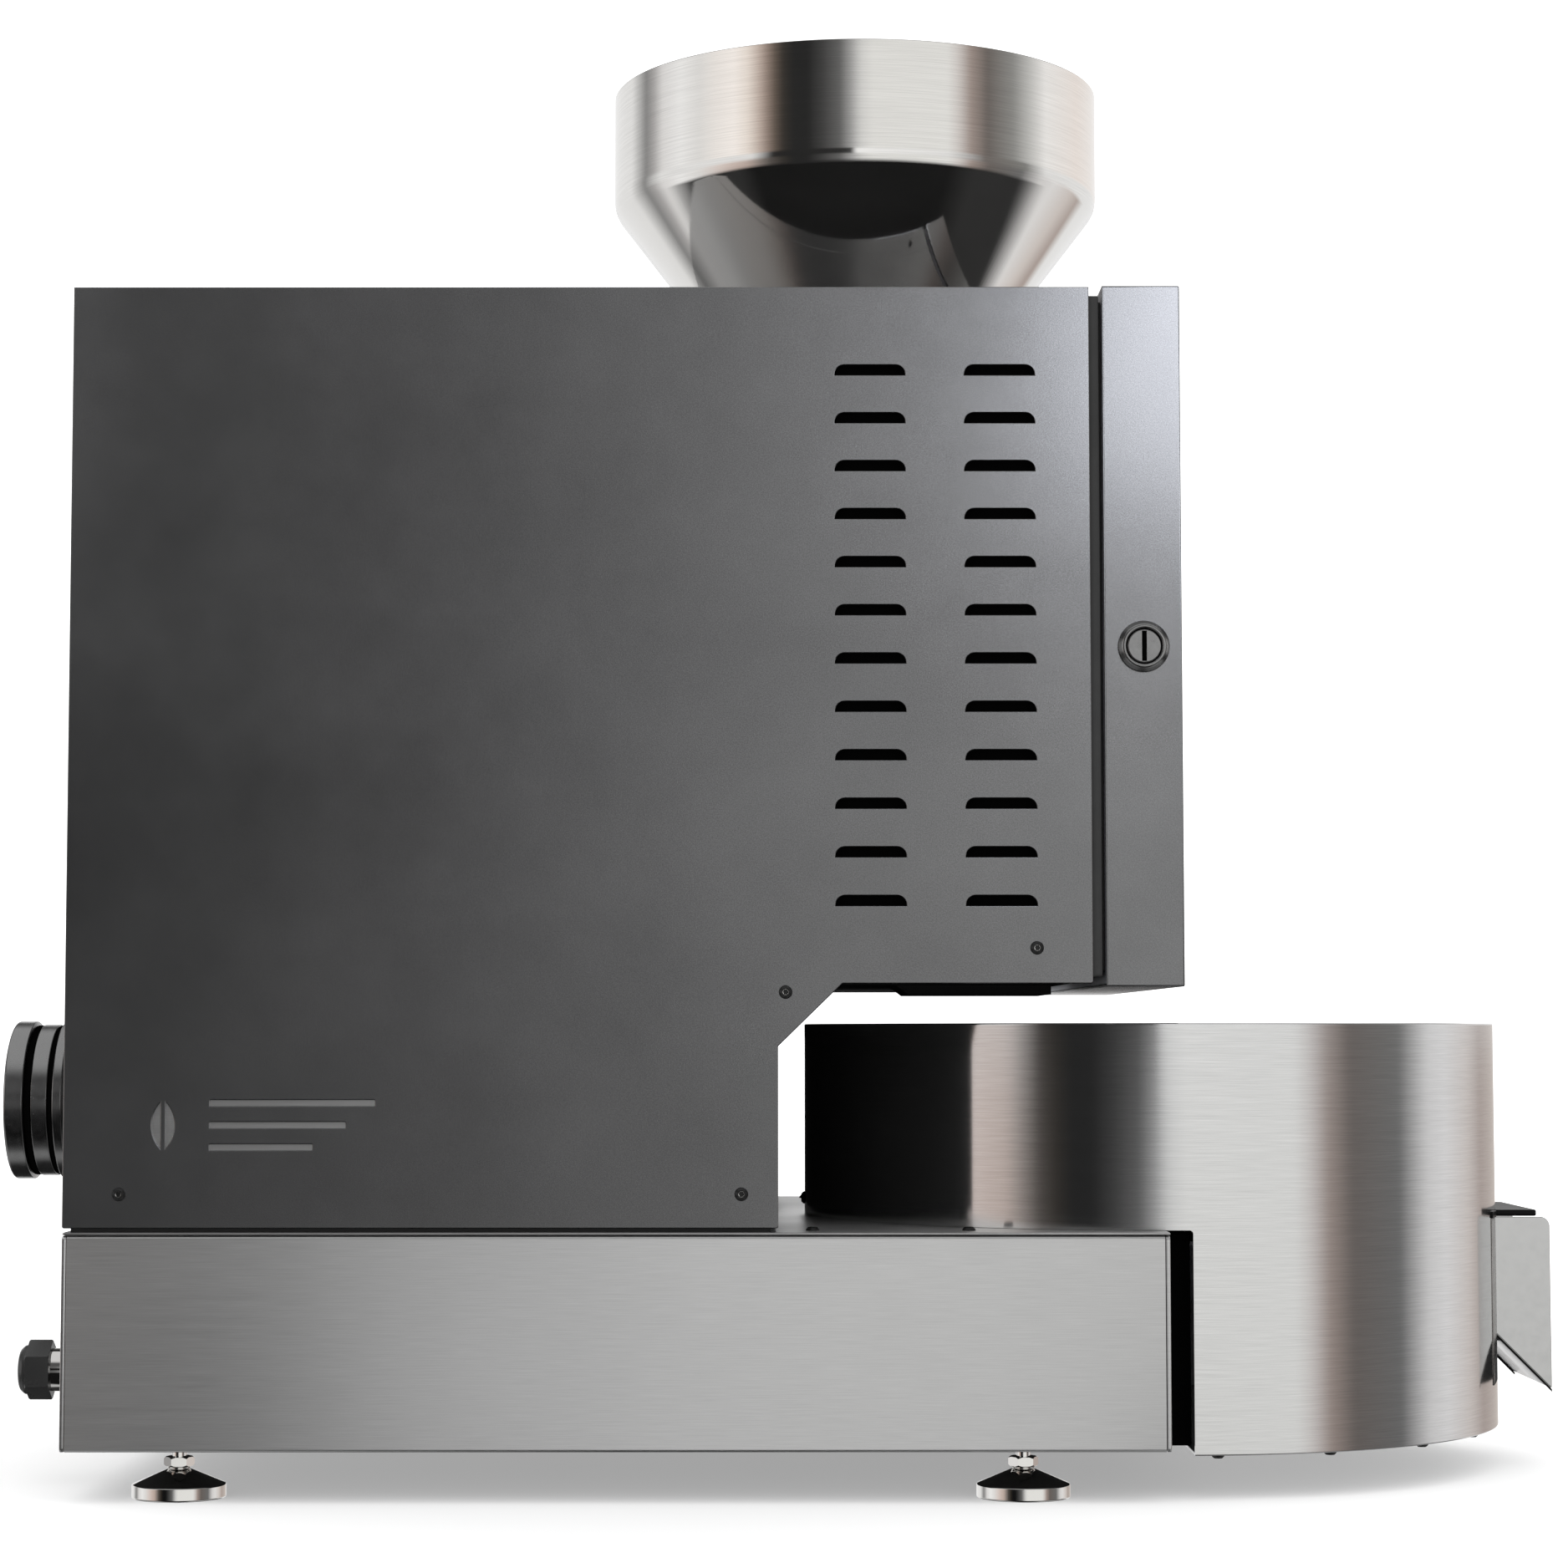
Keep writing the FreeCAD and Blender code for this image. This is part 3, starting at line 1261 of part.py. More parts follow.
def electrics():
    case = block("supply_case", 40.0, 210.0, 60.0, 160.0, 3.2, 58.0)
    terminals = block("supply_terminals", 22.0, 40.0, 70.0, 150.0, 10.0, 26.0)
    keep(place(fuse("power_supply", [case, terminals])), "power_supply")
    board = block("board", 84.0, 264.0, -190.0, -60.0, 12.0, 13.8)
    chips = [block("relay", 100.0 + 34.0 * k, 128.0 + 34.0 * k, -180.0, -150.0, 13.8, 34.0) for k in range(4)]
    sink = block("heat_sink", 110.0, 220.0, -110.0, -80.0, 13.8, 48.0)
    legs = [rod("standoff", 3.0, 9.0, x, y, 3.1) for x in (90.0, 258.0) for y in (-184.0, -66.0)]
    keep(place(fuse("control_board", [board, sink] + chips + legs)), "control_board")


# ---- feet and screws ----


def feet():
    """Swivel feet: a turned pad, a hexagon and the stud that screws into the floor's boss."""
    names = ("foot_rear_left", "foot_rear_right", "foot_front_left", "foot_front_right")
    for name, (x, y) in zip(names, foot_spots()):
        body = place(new_body(name), x, y, -D.foot_height)
        sketch = new_sketch(body, "XZ_Plane")
        pad_radius = D.foot_pad_radius
        corners = [(0.0, 0.0), (pad_radius - 0.8, 0.0), (pad_radius, 0.8), (pad_radius, 6.0)]
        corners += [(pad_radius - 0.8, 6.8), (9.0, 14.4), (9.0, 15.5), (0.0, 15.5)]
        outline(sketch, corners)
        revolve(body, sketch)
        nut = new_sketch(body, "XY_Plane", 15.0)
        hexagon(nut, 0.0, 0.0, 14.5)
        pad(body, nut, 5.5)
        stud = new_sketch(body, "XY_Plane", 20.0)
        circle(stud, 0.0, 0.0, D.stud_radius)
        pad(body, stud, 26.0)
        keep(body, name)


def screw_shape():
    """One button-head screw along +Z: a low dome with a hexagon socket, and a short shank below."""
    head, high = number(D.screw_head_radius), number(D.screw_head_height)
    ball = (head * head + high * high) / (2 * high)
    dome = Part.makeSphere(ball, FreeCAD.Vector(0, 0, high - ball))
    cap = dome.common(Part.makeCylinder(head, high))
    reach = 2.5 / math.sqrt(3)
    ring = [FreeCAD.Vector(reach * math.cos(t), reach * math.sin(t), 0.9) for t in
            [math.radians(60 * k) for k in range(7)]]
    socket = Part.Face(Part.makePolygon(ring)).extrude(FreeCAD.Vector(0, 0, 3))
    shank = Part.makeCylinder(number(D.screw_shank_radius), 3.5, FreeCAD.Vector(0, 0, -3.5))
    return cap.cut(socket).fuse(shank).removeSplitter()


def button_screws():
    """All the button-head screws, which are one size, as a group of separate solids."""
    screw = screw_shape()
    spots = []
    for side in (LEFT, RIGHT):
        for x, z in side_screw_spots():
            spots.append(((x, side * number(D.half_width), z), about((1, 0, 0), -90.0 * side)))
        for x, y in top_screw_spots(side):
            spots.append(((x, number(y), number(D.cabinet_top)), FreeCAD.Rotation()))
    deck_top = number(D.deck_under + D.deck_gauge)
    spots += [((x, number(y), deck_top), FreeCAD.Rotation()) for x, y in deck_screw_spots()]
    for x, y in skirt_screw_spots():
        spots.append(((x + number(D.tray_x), y, number(D.skirt_bottom)), about((1, 0, 0), 180.0)))
    tray_rear = (number(D.tray_x - D.tray_radius), 0.0, number(D.tray_screw_height))
    spots.append((tray_rear, about((0, 1, 0), -90.0)))
    copies = []
    for spot, turn in spots:
        copy = screw.copy()
        copy.Placement = FreeCAD.Placement(FreeCAD.Vector(*spot), turn)
        copies.append(copy)
    item = doc.addObject("Part::Feature", "button_screws")
    item.Shape = Part.makeCompound(copies)
    keep(place(item), "button_screws")


def build():
    base_panels()
    base_floor()
    deck()
    cabinet_gasket()
    for label, side in (("cabinet_side_left", LEFT), ("cabinet_side_right", RIGHT)):
        cabinet_side(label, side)
    cabinet_sheets()
    underpan()
    cabinet_frame()
    front_opening()
    hopper()
    feed_duct()
    hopper_gate()
    faceplate()
    discharge_duct()
    discharge_flap()
    drum_jacket()
    drum_insulation()
    drum_shell()
    drum_shaft()
    drum_bearings()
    heater_elements()
    drum_motor()
    motor_pulley()
    drive_belt()
    exhaust()
    cable_gland()
    door()
    hinges()
    lock()
    tray_skirt()
    cooling_screen()
    tray_bottom()
    agitator()
    tray_chute()
    tray_gate()
    cooling_fan()
    electrics()
    feet()
    button_screws()


def check_and_write():
    """Stops if anything failed to compute, then writes one file for each sub-part."""
    doc.recompute()
    failed = [o.Name for o in doc.Objects if {"Invalid", "Error"} & set(o.State)]
    if failed:
        raise RuntimeError(f"not computed: {failed}")
    bad = [p.Label for p in parts if p.Shape.isNull() or not p.Shape.isValid()]
    if bad:
        raise RuntimeError(f"no valid shape: {bad}")
    os.makedirs("parts", exist_ok=True)
    for part in parts:
        part.Shape.exportStep(f"parts/{part.Label}.step")
    print(f"{len(parts)} sub-parts written")


build()
check_and_write()
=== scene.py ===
import math

import bmesh
import bpy
from mathutils import Matrix, Vector


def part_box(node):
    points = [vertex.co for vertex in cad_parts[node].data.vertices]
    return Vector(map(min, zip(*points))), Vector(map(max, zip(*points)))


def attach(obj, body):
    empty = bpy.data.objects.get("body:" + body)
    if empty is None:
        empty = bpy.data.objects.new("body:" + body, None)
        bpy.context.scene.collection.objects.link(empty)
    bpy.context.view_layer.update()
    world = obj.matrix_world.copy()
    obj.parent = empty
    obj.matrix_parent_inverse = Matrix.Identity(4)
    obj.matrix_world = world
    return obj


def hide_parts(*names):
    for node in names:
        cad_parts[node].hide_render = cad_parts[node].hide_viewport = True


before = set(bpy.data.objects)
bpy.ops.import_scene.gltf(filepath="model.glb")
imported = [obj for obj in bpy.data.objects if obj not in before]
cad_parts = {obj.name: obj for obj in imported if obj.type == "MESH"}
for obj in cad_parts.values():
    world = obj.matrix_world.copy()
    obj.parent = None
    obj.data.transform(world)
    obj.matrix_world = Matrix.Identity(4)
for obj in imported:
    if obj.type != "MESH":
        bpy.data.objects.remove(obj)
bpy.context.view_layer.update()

# A small drum coffee roaster. Shapes are drawn in millimetres, in machine coordinates: x runs forward
# from the cabinet's rear face, y from the middle plane, and z up from the underside of the base.

MM = 0.001
SIDES = LEFT, RIGHT = -1, 1
ORIGIN = Vector((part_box("cabinet_side_left")[0].x, 0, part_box("base_side_left")[0].z))
TO_ROW = Matrix.Translation(ORIGIN) @ Matrix.Scale(MM, 4)
NO_TURN = Matrix.Identity(4)
ALONG_X = Matrix.Rotation(math.pi / 2, 4, "Y")
ALONG_BACK = Matrix.Rotation(-math.pi / 2, 4, "Y")
DOWNWARDS = Matrix.Rotation(math.pi, 4, "X")


def along_y(side):
    """Turns a shape drawn up the z axis so that it points out of the left or the right side."""
    return Matrix.Rotation(-side * math.pi / 2, 4, "X")


def moved(x=0.0, y=0.0, z=0.0):
    return Matrix.Translation((x, y, z))


def span(node):
    """A CAD node's lowest and highest corners, in machine millimetres."""
    return [(corner - ORIGIN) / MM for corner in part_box(node)]


def middle_of(node):
    low, high = span(node)
    return (low + high) / 2


def between(side, first, second):
    """Two distances from the middle plane on one side, as the lower and the higher y."""
    return sorted((side * first, side * second))


def placed(name, data):
    """A new object in the scene."""
    item = bpy.data.objects.new(name, data)
    bpy.context.scene.collection.objects.link(item)
    return item


def as_mesh(shape, name="shape"):
    mesh = bpy.data.meshes.new(name)
    shape.to_mesh(mesh)
    shape.free()
    return mesh


# ---- materials ----


class Shade:
    """A node material in the making: one principled shader, and short calls for what feeds it."""

    def __init__(self, name, metallic=0.0, roughness=0.5, **sockets):
        self.material = bpy.data.materials.new(name)
        self.material.use_nodes = True
        self.tree = self.material.node_tree
        self.shader = self.tree.nodes["Principled BSDF"]
        self.shader.inputs["Metallic"].default_value = metallic
        self.shader.inputs["Roughness"].default_value = roughness
        for socket, value in sockets.items():
            self.shader.inputs[socket.replace("_", " ")].default_value = value
        self.place = self.tree.nodes.new("ShaderNodeTexCoord").outputs["Object"]

    def node(self, kind, **inputs):
        made = self.tree.nodes.new("ShaderNode" + kind)
        for socket, value in inputs.items():
            target = made.inputs[socket.replace("_", " ")]
            if isinstance(value, bpy.types.NodeSocket):
                self.tree.links.new(value, target)
            else:
                target.default_value = value
        return made

    def feed(self, socket, value):
        self.tree.links.new(value, self.shader.inputs[socket])

    def noise(self, stretch, detail, rough=0.5):
        """Noise with so many features a metre: one number, or one each along x, y and z."""
        stretch = stretch if isinstance(stretch, tuple) else (stretch,) * 3
        spots = self.node("Mapping", Vector=self.place, Scale=stretch).outputs[0]
        return self.node("TexNoise", Vector=spots, Scale=1.0, Detail=detail, Roughness=rough).outputs[0]

    def spread(self, value, low, high, start=0.3, end=0.7):
        """Maps the middle of a texture's range to low ... high."""
        made = self.node("MapRange", Value=value, From_Min=start, From_Max=end, To_Min=low, To_Max=high)
        return made.outputs[0]

    def sum(self, first, second):
        made = self.node("Math")
        made.operation = "ADD"
        self.tree.links.new(first, made.inputs[0])
        self.tree.links.new(second, made.inputs[1])
        return made.outputs[0]

    def colour(self, value, dark, light):
        """The base colour, from dark to light as the texture rises."""
        made = self.node("ValToRGB", Fac=value)
        made.color_ramp.elements[0].color = (*dark, 1)
        made.color_ramp.elements[1].color = (*light, 1)
        self.feed("Base Color", made.outputs[0])

    def bump(self, height, distance):
        made = self.node("Bump", Height=height, Distance=distance)
        self.feed("Normal", made.outputs[0])

    def brushed(self, amount):
        """Stretches reflections across brush lines that run level round the machine."""
        self.shader.inputs["Anisotropic"].default_value = amount
        self.shader.inputs["Anisotropic Rotation"].default_value = 0.25
        tangent = self.tree.nodes.new("ShaderNodeTangent")
        tangent.direction_type = "RADIAL"
        tangent.axis = "Z"
        self.feed("Tangent", tangent.outputs[0])


NEUTRAL = (1.0, 1.0, 1.0)


def grey(level, tone=NEUTRAL):
    return tuple(level * t for t in tone)


def powder_coat(name, level, tone, roughness, metallic, gloss=0.5):
    """Sprayed coating: a fine grain over orange peel, with a little mottling."""
    shade = Shade(name, metallic=metallic, roughness=roughness, Specular_IOR_Level=gloss)
    grain = shade.noise(1500, 3)
    peel = shade.noise(420, 2)
    blotch = shade.noise(11, 5, 0.62)
    texture = shade.sum(shade.spread(grain, 0.0, 0.62), shade.spread(blotch, 0.0, 0.38))
    shade.colour(texture, grey(level * 0.76, tone), grey(level * 1.22, tone))
    shade.feed("Roughness", shade.spread(blotch, roughness - 0.012, roughness + 0.012))
    shade.bump(shade.sum(grain, peel), 0.000007)
    return shade.material


def brushed_metal(name, level, tone, roughness, amount, lines, depth):
    """Metal with fine level brush lines: lines says how many features a metre each way."""
    shade = Shade(name, metallic=1.0, roughness=roughness)
    fine = shade.noise(lines, 3, 0.6)
    coarse = shade.noise(tuple(n / 4 for n in lines), 3, 0.6)
    cloud = shade.noise(5, 4)
    streaks = shade.sum(shade.spread(fine, 0.0, 0.75), shade.spread(coarse, 0.0, 0.25))
    shade.colour(streaks, grey(level * 0.91, tone), grey(level * 1.09, tone))
    texture = shade.sum(shade.spread(coarse, -0.08 * roughness, 0.08 * roughness),
                        shade.spread(cloud, 0.95 * roughness, 1.05 * roughness))
    shade.feed("Roughness", texture)
    shade.bump(fine, depth)
    shade.brushed(amount)
    return shade.material


def plain_metal(name, level, tone, roughness, size=220, depth=0.00001, metallic=1.0):
    """Metal without a grain: slight clouding, fine scratches and handling marks in its gloss."""
    shade = Shade(name, metallic=metallic, roughness=roughness)
    cloud = shade.noise(9, 5, 0.6)
    pits = shade.noise(size, 4, 0.6)
    shade.colour(cloud, grey(level * 0.93, tone), grey(level * 1.05, tone))
    shade.feed("Roughness", shade.spread(shade.sum(cloud, pits), roughness * 0.75, roughness * 1.3, 0.7, 1.3))
    shade.bump(pits, depth)
    return shade.material


def soft_black(name, level, roughness, size, depth, ior=1.5):
    """Moulded plastic or rubber, with a fine moulded texture and paler rubbed patches, and the dull black of
    painted shade.
    """
    shade = Shade(name, roughness=roughness, IOR=ior)
    grain = shade.noise(size, 3)
    rub = shade.noise(25, 5, 0.65)
    shade.colour(rub, grey(level * 0.75), grey(level * 1.3))
    shade.feed("Roughness", shade.spread(rub, roughness - 0.05, roughness + 0.05))
    shade.bump(grain, depth)
    return shade.material


def mineral_wool():
    shade = Shade("mineral_wool", roughness=0.95)
    fibre = shade.noise((900, 900, 160), 5, 0.7)
    shade.colour(fibre, (0.32, 0.27, 0.17), (0.62, 0.57, 0.44))
    shade.bump(fibre, 0.0012)
    return shade.material


def circuit_board():
    shade = Shade("circuit_board", roughness=0.4)
    tracks = shade.noise((240, 240, 3), 0)
    shade.colour(tracks, (0.005, 0.055, 0.02), (0.02, 0.14, 0.05))
    shade.bump(tracks, 0.00005)
    return shade.material


def tinted_glass():
    shade = Shade("sight_glass", roughness=0.03, Transmission_Weight=1.0)
    smear = shade.noise(14, 4)
    shade.colour(smear, (0.62, 0.66, 0.64), (0.75, 0.79, 0.77))
    shade.feed("Roughness", shade.spread(smear, 0.01, 0.07))
    return shade.material


WARM = (1.0, 0.985, 0.96)
BLUISH = (0.94, 0.96, 1.04)
LEVEL_LINES = (40, 40, 2400)
CABINET = powder_coat("charcoal_coat", 0.20, (0.995, 0.998, 1.01), 0.24, 1.0)
UNDERSIDE = powder_coat("black_coat", 0.02, NEUTRAL, 0.6, 0.0, 0.0)
BRUSHED = brushed_metal("brushed_steel", 0.60, NEUTRAL, 0.33, 0.4, LEVEL_LINES, 0.000006)
TRAY = brushed_metal("brushed_tray", 0.70, NEUTRAL, 0.12, 0.6, LEVEL_LINES, 0.0000015)
SPUN = brushed_metal("spun_band", 0.78, WARM, 0.1, 0.6, (26, 26, 2600), 0.0000006)
POLISHED = plain_metal("spun_cone", 0.78, WARM, 0.05, 90, 0.000001)
STEEL = plain_metal("plain_steel", 0.55, NEUTRAL, 0.28)
SHEET = plain_metal("spout_steel", 0.58, NEUTRAL, 0.2, 150, 0.000004)
# Painted shade: a darker, browner copy of the chute steel, used only for the chute's flanges.
SHADED_FLANGE_STEEL = plain_metal("flange_steel_painted_shade", 0.36, (1.0, 0.96, 0.93), 0.3, 200, 0.000004)
CHROME = plain_metal("chrome", 0.82, WARM, 0.045, 120, 0.000002)
DARK_CHROME = plain_metal("spigot_steel", 0.30, NEUTRAL, 0.22, 200, 0.000002)
DARK_STEEL = plain_metal("lock_steel", 0.27, NEUTRAL, 0.24, 300, 0.000004)
DRUM = plain_metal("drum_steel", 0.22, (1.0, 0.93, 0.84), 0.42, 160, 0.00006)
GALVANISED = plain_metal("galvanised", 0.5, BLUISH, 0.45, 400, 0.000003)
BLACK_METAL = plain_metal("black_oxide", 0.02, NEUTRAL, 0.26, 300, 0.00001, 0.6)
GATE = soft_black("gate_plate", 0.004, 0.35, 900, 0.00001, 1.15)
PLASTIC = soft_black("black_plastic", 0.02, 0.26, 1400, 0.00002)
RUBBER = soft_black("black_rubber", 0.014, 0.72, 900, 0.00006)
# Rubber of the door seal; the same dark rubber also paints a shadow under the chute's near flange.
SEAL_AND_PAINTED_SHADOW = soft_black("seal_rubber_and_painted_shadow", 0.04, 0.6, 900, 0.00006, 1.05)
# Painted shade: a dull black with no gloss, filled into slots, grooves and gaps to make them read dark.
PAINTED_SHADE = soft_black("painted_shade_black", 0.0015, 0.95, 600, 0.00004, 1.0)
WOOL = mineral_wool()
BOARD = circuit_board()
GLASS = tinted_glass()


# ---- meshes ----


def rounded(corners, ease=0.0, step=12.0):
    """The points of an outline. A corner (u, v) stays sharp, and (u, v, r) is rounded to that radius.
    With ease, each rounding has one more point that far outside both of its ends."""
    points = []
    for i, corner in enumerate(corners):
        here = Vector(corner[:2])
        if len(corner) == 2:
            points.append(here)
            continue
        before = (Vector(corners[i - 1][:2]) - here).normalized()
        after = (Vector(corners[(i + 1) % len(corners)][:2]) - here).normalized()
        half = before.angle(after) / 2
        reach = corner[2] / math.tan(half)
        middle = here + (before + after).normalized() * corner[2] / math.sin(half)
        start = here + before * reach - middle
        end = here + after * reach - middle
        turn = math.atan2(start.x * end.y - start.y * end.x, start.dot(end))
        steps = max(1, round(abs(math.degrees(turn)) / step))
        if ease:
            points.append(here + before * (reach + ease))
        for k in range(steps + 1):
            points.append(middle + Matrix.Rotation(turn * k / steps, 2) @ start)
        if ease:
            points.append(here + after * (reach + ease))
    return points


def polar(radius, turn, u=0.0, v=0.0):
    return u + radius * math.cos(turn), v + radius * math.sin(turn)


def ring(u, v, radius, count, start=0.0):
    return [polar(radius, start + 2 * math.pi * k / count, u, v) for k in range(count)]


def hexagon(flats, start=0.0):
    return ring(0.0, 0.0, flats / math.sqrt(3), 6, start)


def oblong(u0, u1, v0, v1, radius=0.0):
    corners = [(u0, v0), (u1, v0), (u1, v1), (u0, v1)]
    return rounded([(*c, radius) for c in corners]) if radius else corners


DRAWN_ON = {
    "xy": Matrix.Identity(4),
    "yz": Matrix(((0, 0, 1, 0), (1, 0, 0, 0), (0, 1, 0, 0), (0, 0, 0, 1))),
    "xz": Matrix(((1, 0, 0, 0), (0, 0, -1, 0), (0, 1, 0, 0), (0, 0, 0, 1))),
}


def flat(loops, plane, low, high, edge):
    """A sheet with softened edges: the first loop is its outline and the others are holes in it."""
    curve = bpy.data.curves.new("outline", "CURVE")
    curve.dimensions = "2D"
    curve.fill_mode = "BOTH"
    curve.extrude = (high - low) / 2 - edge
    curve.bevel_depth = edge
    curve.bevel_resolution = 1
    curve.offset = -edge
    for loop in loops:
        spline = curve.splines.new("POLY")
        spline.points.add(len(loop) - 1)
        for point, (u, v) in zip(spline.points, loop):
            point.co = (u, v, 0, 1)
        spline.use_cyclic_u = True
    mesh = evaluated(placed("outline", curve))
    mesh.polygons.foreach_set("use_smooth", [abs(face.normal.z) < 0.999 for face in mesh.polygons])
    middle = (high + low) / 2
    mesh.transform(DRAWN_ON[plane] @ moved(z=-middle if plane == "xz" else middle))
    return mesh


def evaluated(item):
    """The mesh that an object has with its modifiers. The object itself is removed."""
    graph = bpy.context.evaluated_depsgraph_get()
    mesh = bpy.data.meshes.new_from_object(item.evaluated_get(graph))
    bpy.data.objects.remove(item)
    return mesh


def shaded(shape, smooth=True):
    """The mesh of an edit shape: wholly smooth, or as each of its faces is marked."""
    bmesh.ops.recalc_face_normals(shape, faces=shape.faces)
    for face in shape.faces:
        face.smooth = smooth or face.smooth
    return as_mesh(shape)


def turned(profile, steps=96):
    """A closed profile of (radius, height) points turned about the z axis."""
    shape = bmesh.new()
    turns = [2 * math.pi * k / steps for k in range(steps)]
    rings = []
    for radius, height in profile:
        if radius < 0.0001:
            rings.append([shape.verts.new((0, 0, height))] * steps)
        else:
            rings.append([shape.verts.new((*polar(radius, t), height)) for t in turns])
    for this, following in zip(rings, rings[1:] + rings[:1]):
        for k in range(steps):
            after = (k + 1) % steps
            corners = list(dict.fromkeys([this[k], this[after], following[after], following[k]]))
            if len(corners) > 2:
                shape.faces.new(corners)
    return shaded(shape)


def rod(radius, low, high, steps):
    """A plain cylinder up the z axis."""
    return turned([(0, low), (radius, low), (radius, high), (0, high)], steps)


def washer(inner, outer, low, high, steps):
    return turned([(inner, low), (outer, low), (outer, high), (inner, high)], steps)


def brick(low, high, edge, segments=2):
    """A block with softened edges."""
    shape = bmesh.new()
    bmesh.ops.create_cube(shape, size=1.0)
    low, high = Vector(low), Vector(high)
    for vertex in shape.verts:
        vertex.co = [l + (c + 0.5) * (h - l) for l, h, c in zip(low, high, vertex.co)]
    bevel = bmesh.ops.bevel(
        shape, geom=shape.edges[:], offset=edge, segments=segments, profile=0.5, affect="EDGES")
    for face in bevel["faces"]:
        face.smooth = True
    return shaded(shape, smooth=False)


def carved(mesh, *cutters, operation="DIFFERENCE"):
    """The mesh with the cutters' shapes taken out of it, or with only what it shares with them."""
    item = placed("carved", mesh)
    tools = []
    for cutter in cutters:
        tool = placed("cutter", cutter)
        tools.append(tool)
        step = item.modifiers.new("cut", "BOOLEAN")
        step.operation = operation
        step.solver = "EXACT"
        step.object = tool
    result = evaluated(item)
    for tool in tools:
        bpy.data.objects.remove(tool)
    return result


def softened(mesh, width):
    """The mesh with its sharp edges bevelled."""
    item = placed("softened", mesh)
    step = item.modifiers.new("soft", "BEVEL")
    step.width = width
    step.segments = 2
    step.limit_method = "ANGLE"
    step.angle_limit = math.radians(35.0)
    step.use_clamp_overlap = True
    return evaluated(item)


WELD = 0.0005
SHARP = math.radians(24.0)


class Piece:
    """Collects the solids of one visible piece, each with its finish, in machine millimetres."""

    def __init__(self, name, place=NO_TURN):
        self.name = name
        self.place = place
        self.shape = bmesh.new()
        self.finishes = []

    def add(self, mesh, finish, place=NO_TURN):
        if finish not in self.finishes:
            self.finishes.append(finish)
        old_faces, old_verts = len(self.shape.faces), len(self.shape.verts)
        self.shape.from_mesh(mesh)
        self.shape.faces.ensure_lookup_table()
        self.shape.verts.ensure_lookup_table()
        for face in self.shape.faces[old_faces:]:
            face.material_index = self.finishes.index(finish)
        bmesh.ops.transform(self.shape, matrix=self.place @ place, verts=self.shape.verts[old_verts:])
        return self

    def finish(self, slot, *nodes, body="chassis"):
        """Makes the object, which rides on a body and stands for the CAD nodes named."""
        bmesh.ops.remove_doubles(self.shape, verts=self.shape.verts, dist=WELD)
        self.shape.transform(TO_ROW)
        mesh = as_mesh(self.shape, self.name)
        smooth = [face.use_smooth for face in mesh.polygons]
        mesh.set_sharp_from_angle(angle=SHARP)
        mesh.polygons.foreach_set("use_smooth", smooth)
        for material in self.finishes:
            mesh.materials.append(material)
        item = placed(self.name, mesh)
        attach(item, body)
        if nodes:
            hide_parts(*nodes)
        return item


def sheet(node, name, loops, plane, edge, finish, slot, body="chassis"):
    """A piece that is one sheet, as thick as the CAD node that it stands for."""
    low, high = span(node)
    axis = {"yz": 0, "xz": 1, "xy": 2}[plane]
    Piece(name).add(flat(loops, plane, low[axis], high[axis], edge), finish).finish(slot, node, body=body)


# ---- base ----

GAUGE = 1.5
BASE_FOLD = 1.9
PANEL_CORNER = 2.4


def folded_channel(side, x0, x1, web, lip, z0, z1):
    """A sheet channel with rounded folds, lying along x, its open side towards the middle plane."""
    outer = [(lip, z0), (web, z0, BASE_FOLD), (web, z1, BASE_FOLD), (lip, z1)]
    inner_web, fold = web - GAUGE, BASE_FOLD - GAUGE
    bottom, top = z0 + GAUGE, z1 - GAUGE
    inner = [(lip, top), (inner_web, top, fold), (inner_web, bottom, fold), (lip, bottom)]
    section = [(side * u, v) for u, v in rounded(outer + inner)]
    return flat([section], "yz", x0, x1, 0.25)


def base():
    for side, name in ((LEFT, "base_side_left"), (RIGHT, "base_side_right")):
        low, high = span(name)
        web = max(abs(low.y), abs(high.y))
        lip = min(abs(low.y), abs(high.y))
        channel = Piece(name + "_skin")
        channel.add(folded_channel(side, low.x, high.x, web, lip, low.z, high.z), BRUSHED)
        channel.finish("brushed_steel", name)
    low, high = span("base_rear_panel")
    lead = middle_of("cable_gland")
    loops = [oblong(low.y, high.y, low.z, high.z, PANEL_CORNER), ring(lead.y, lead.z, 13.0, 48)]
    sheet("base_rear_panel", "base_rear_panel_skin", loops, "yz", 0.6, BRUSHED, "brushed_steel")
    low, high = span("base_front_panel")
    half, sill = 42.0, 14.0
    outline = rounded([
        (low.y, low.z, PANEL_CORNER), (high.y, low.z, PANEL_CORNER), (high.y, high.z, PANEL_CORNER),
        (half, high.z, 1.0), (half, sill, 3.0), (-half, sill, 3.0), (-half, high.z, 1.0),
        (low.y, high.z, PANEL_CORNER),
    ])
    sheet("base_front_panel", "base_front_panel_skin", [outline], "yz", 0.6, BRUSHED, "brushed_steel")
    deck()


def deck():
    """The plate over the base, with a round bite for the tray's skirt."""
    low, high = span("deck_plate")
    tray_x, _ = tray_middle()
    reach = 186.0
    half_turn = math.pi / 2 - math.asin((tray_x - high.x) / reach)
    turns = [math.pi + half_turn * (1 - 2 * k / 40) for k in range(41)]
    outline = rounded([(high.x, high.y), (low.x, high.y, 2.0), (low.x, low.y, 2.0), (high.x, low.y)])
    outline += [polar(reach, t, tray_x) for t in turns]
    sheet("deck_plate", "deck_skin", [outline], "xy", 0.5, BRUSHED, "brushed_steel")


# ---- cabinet ----

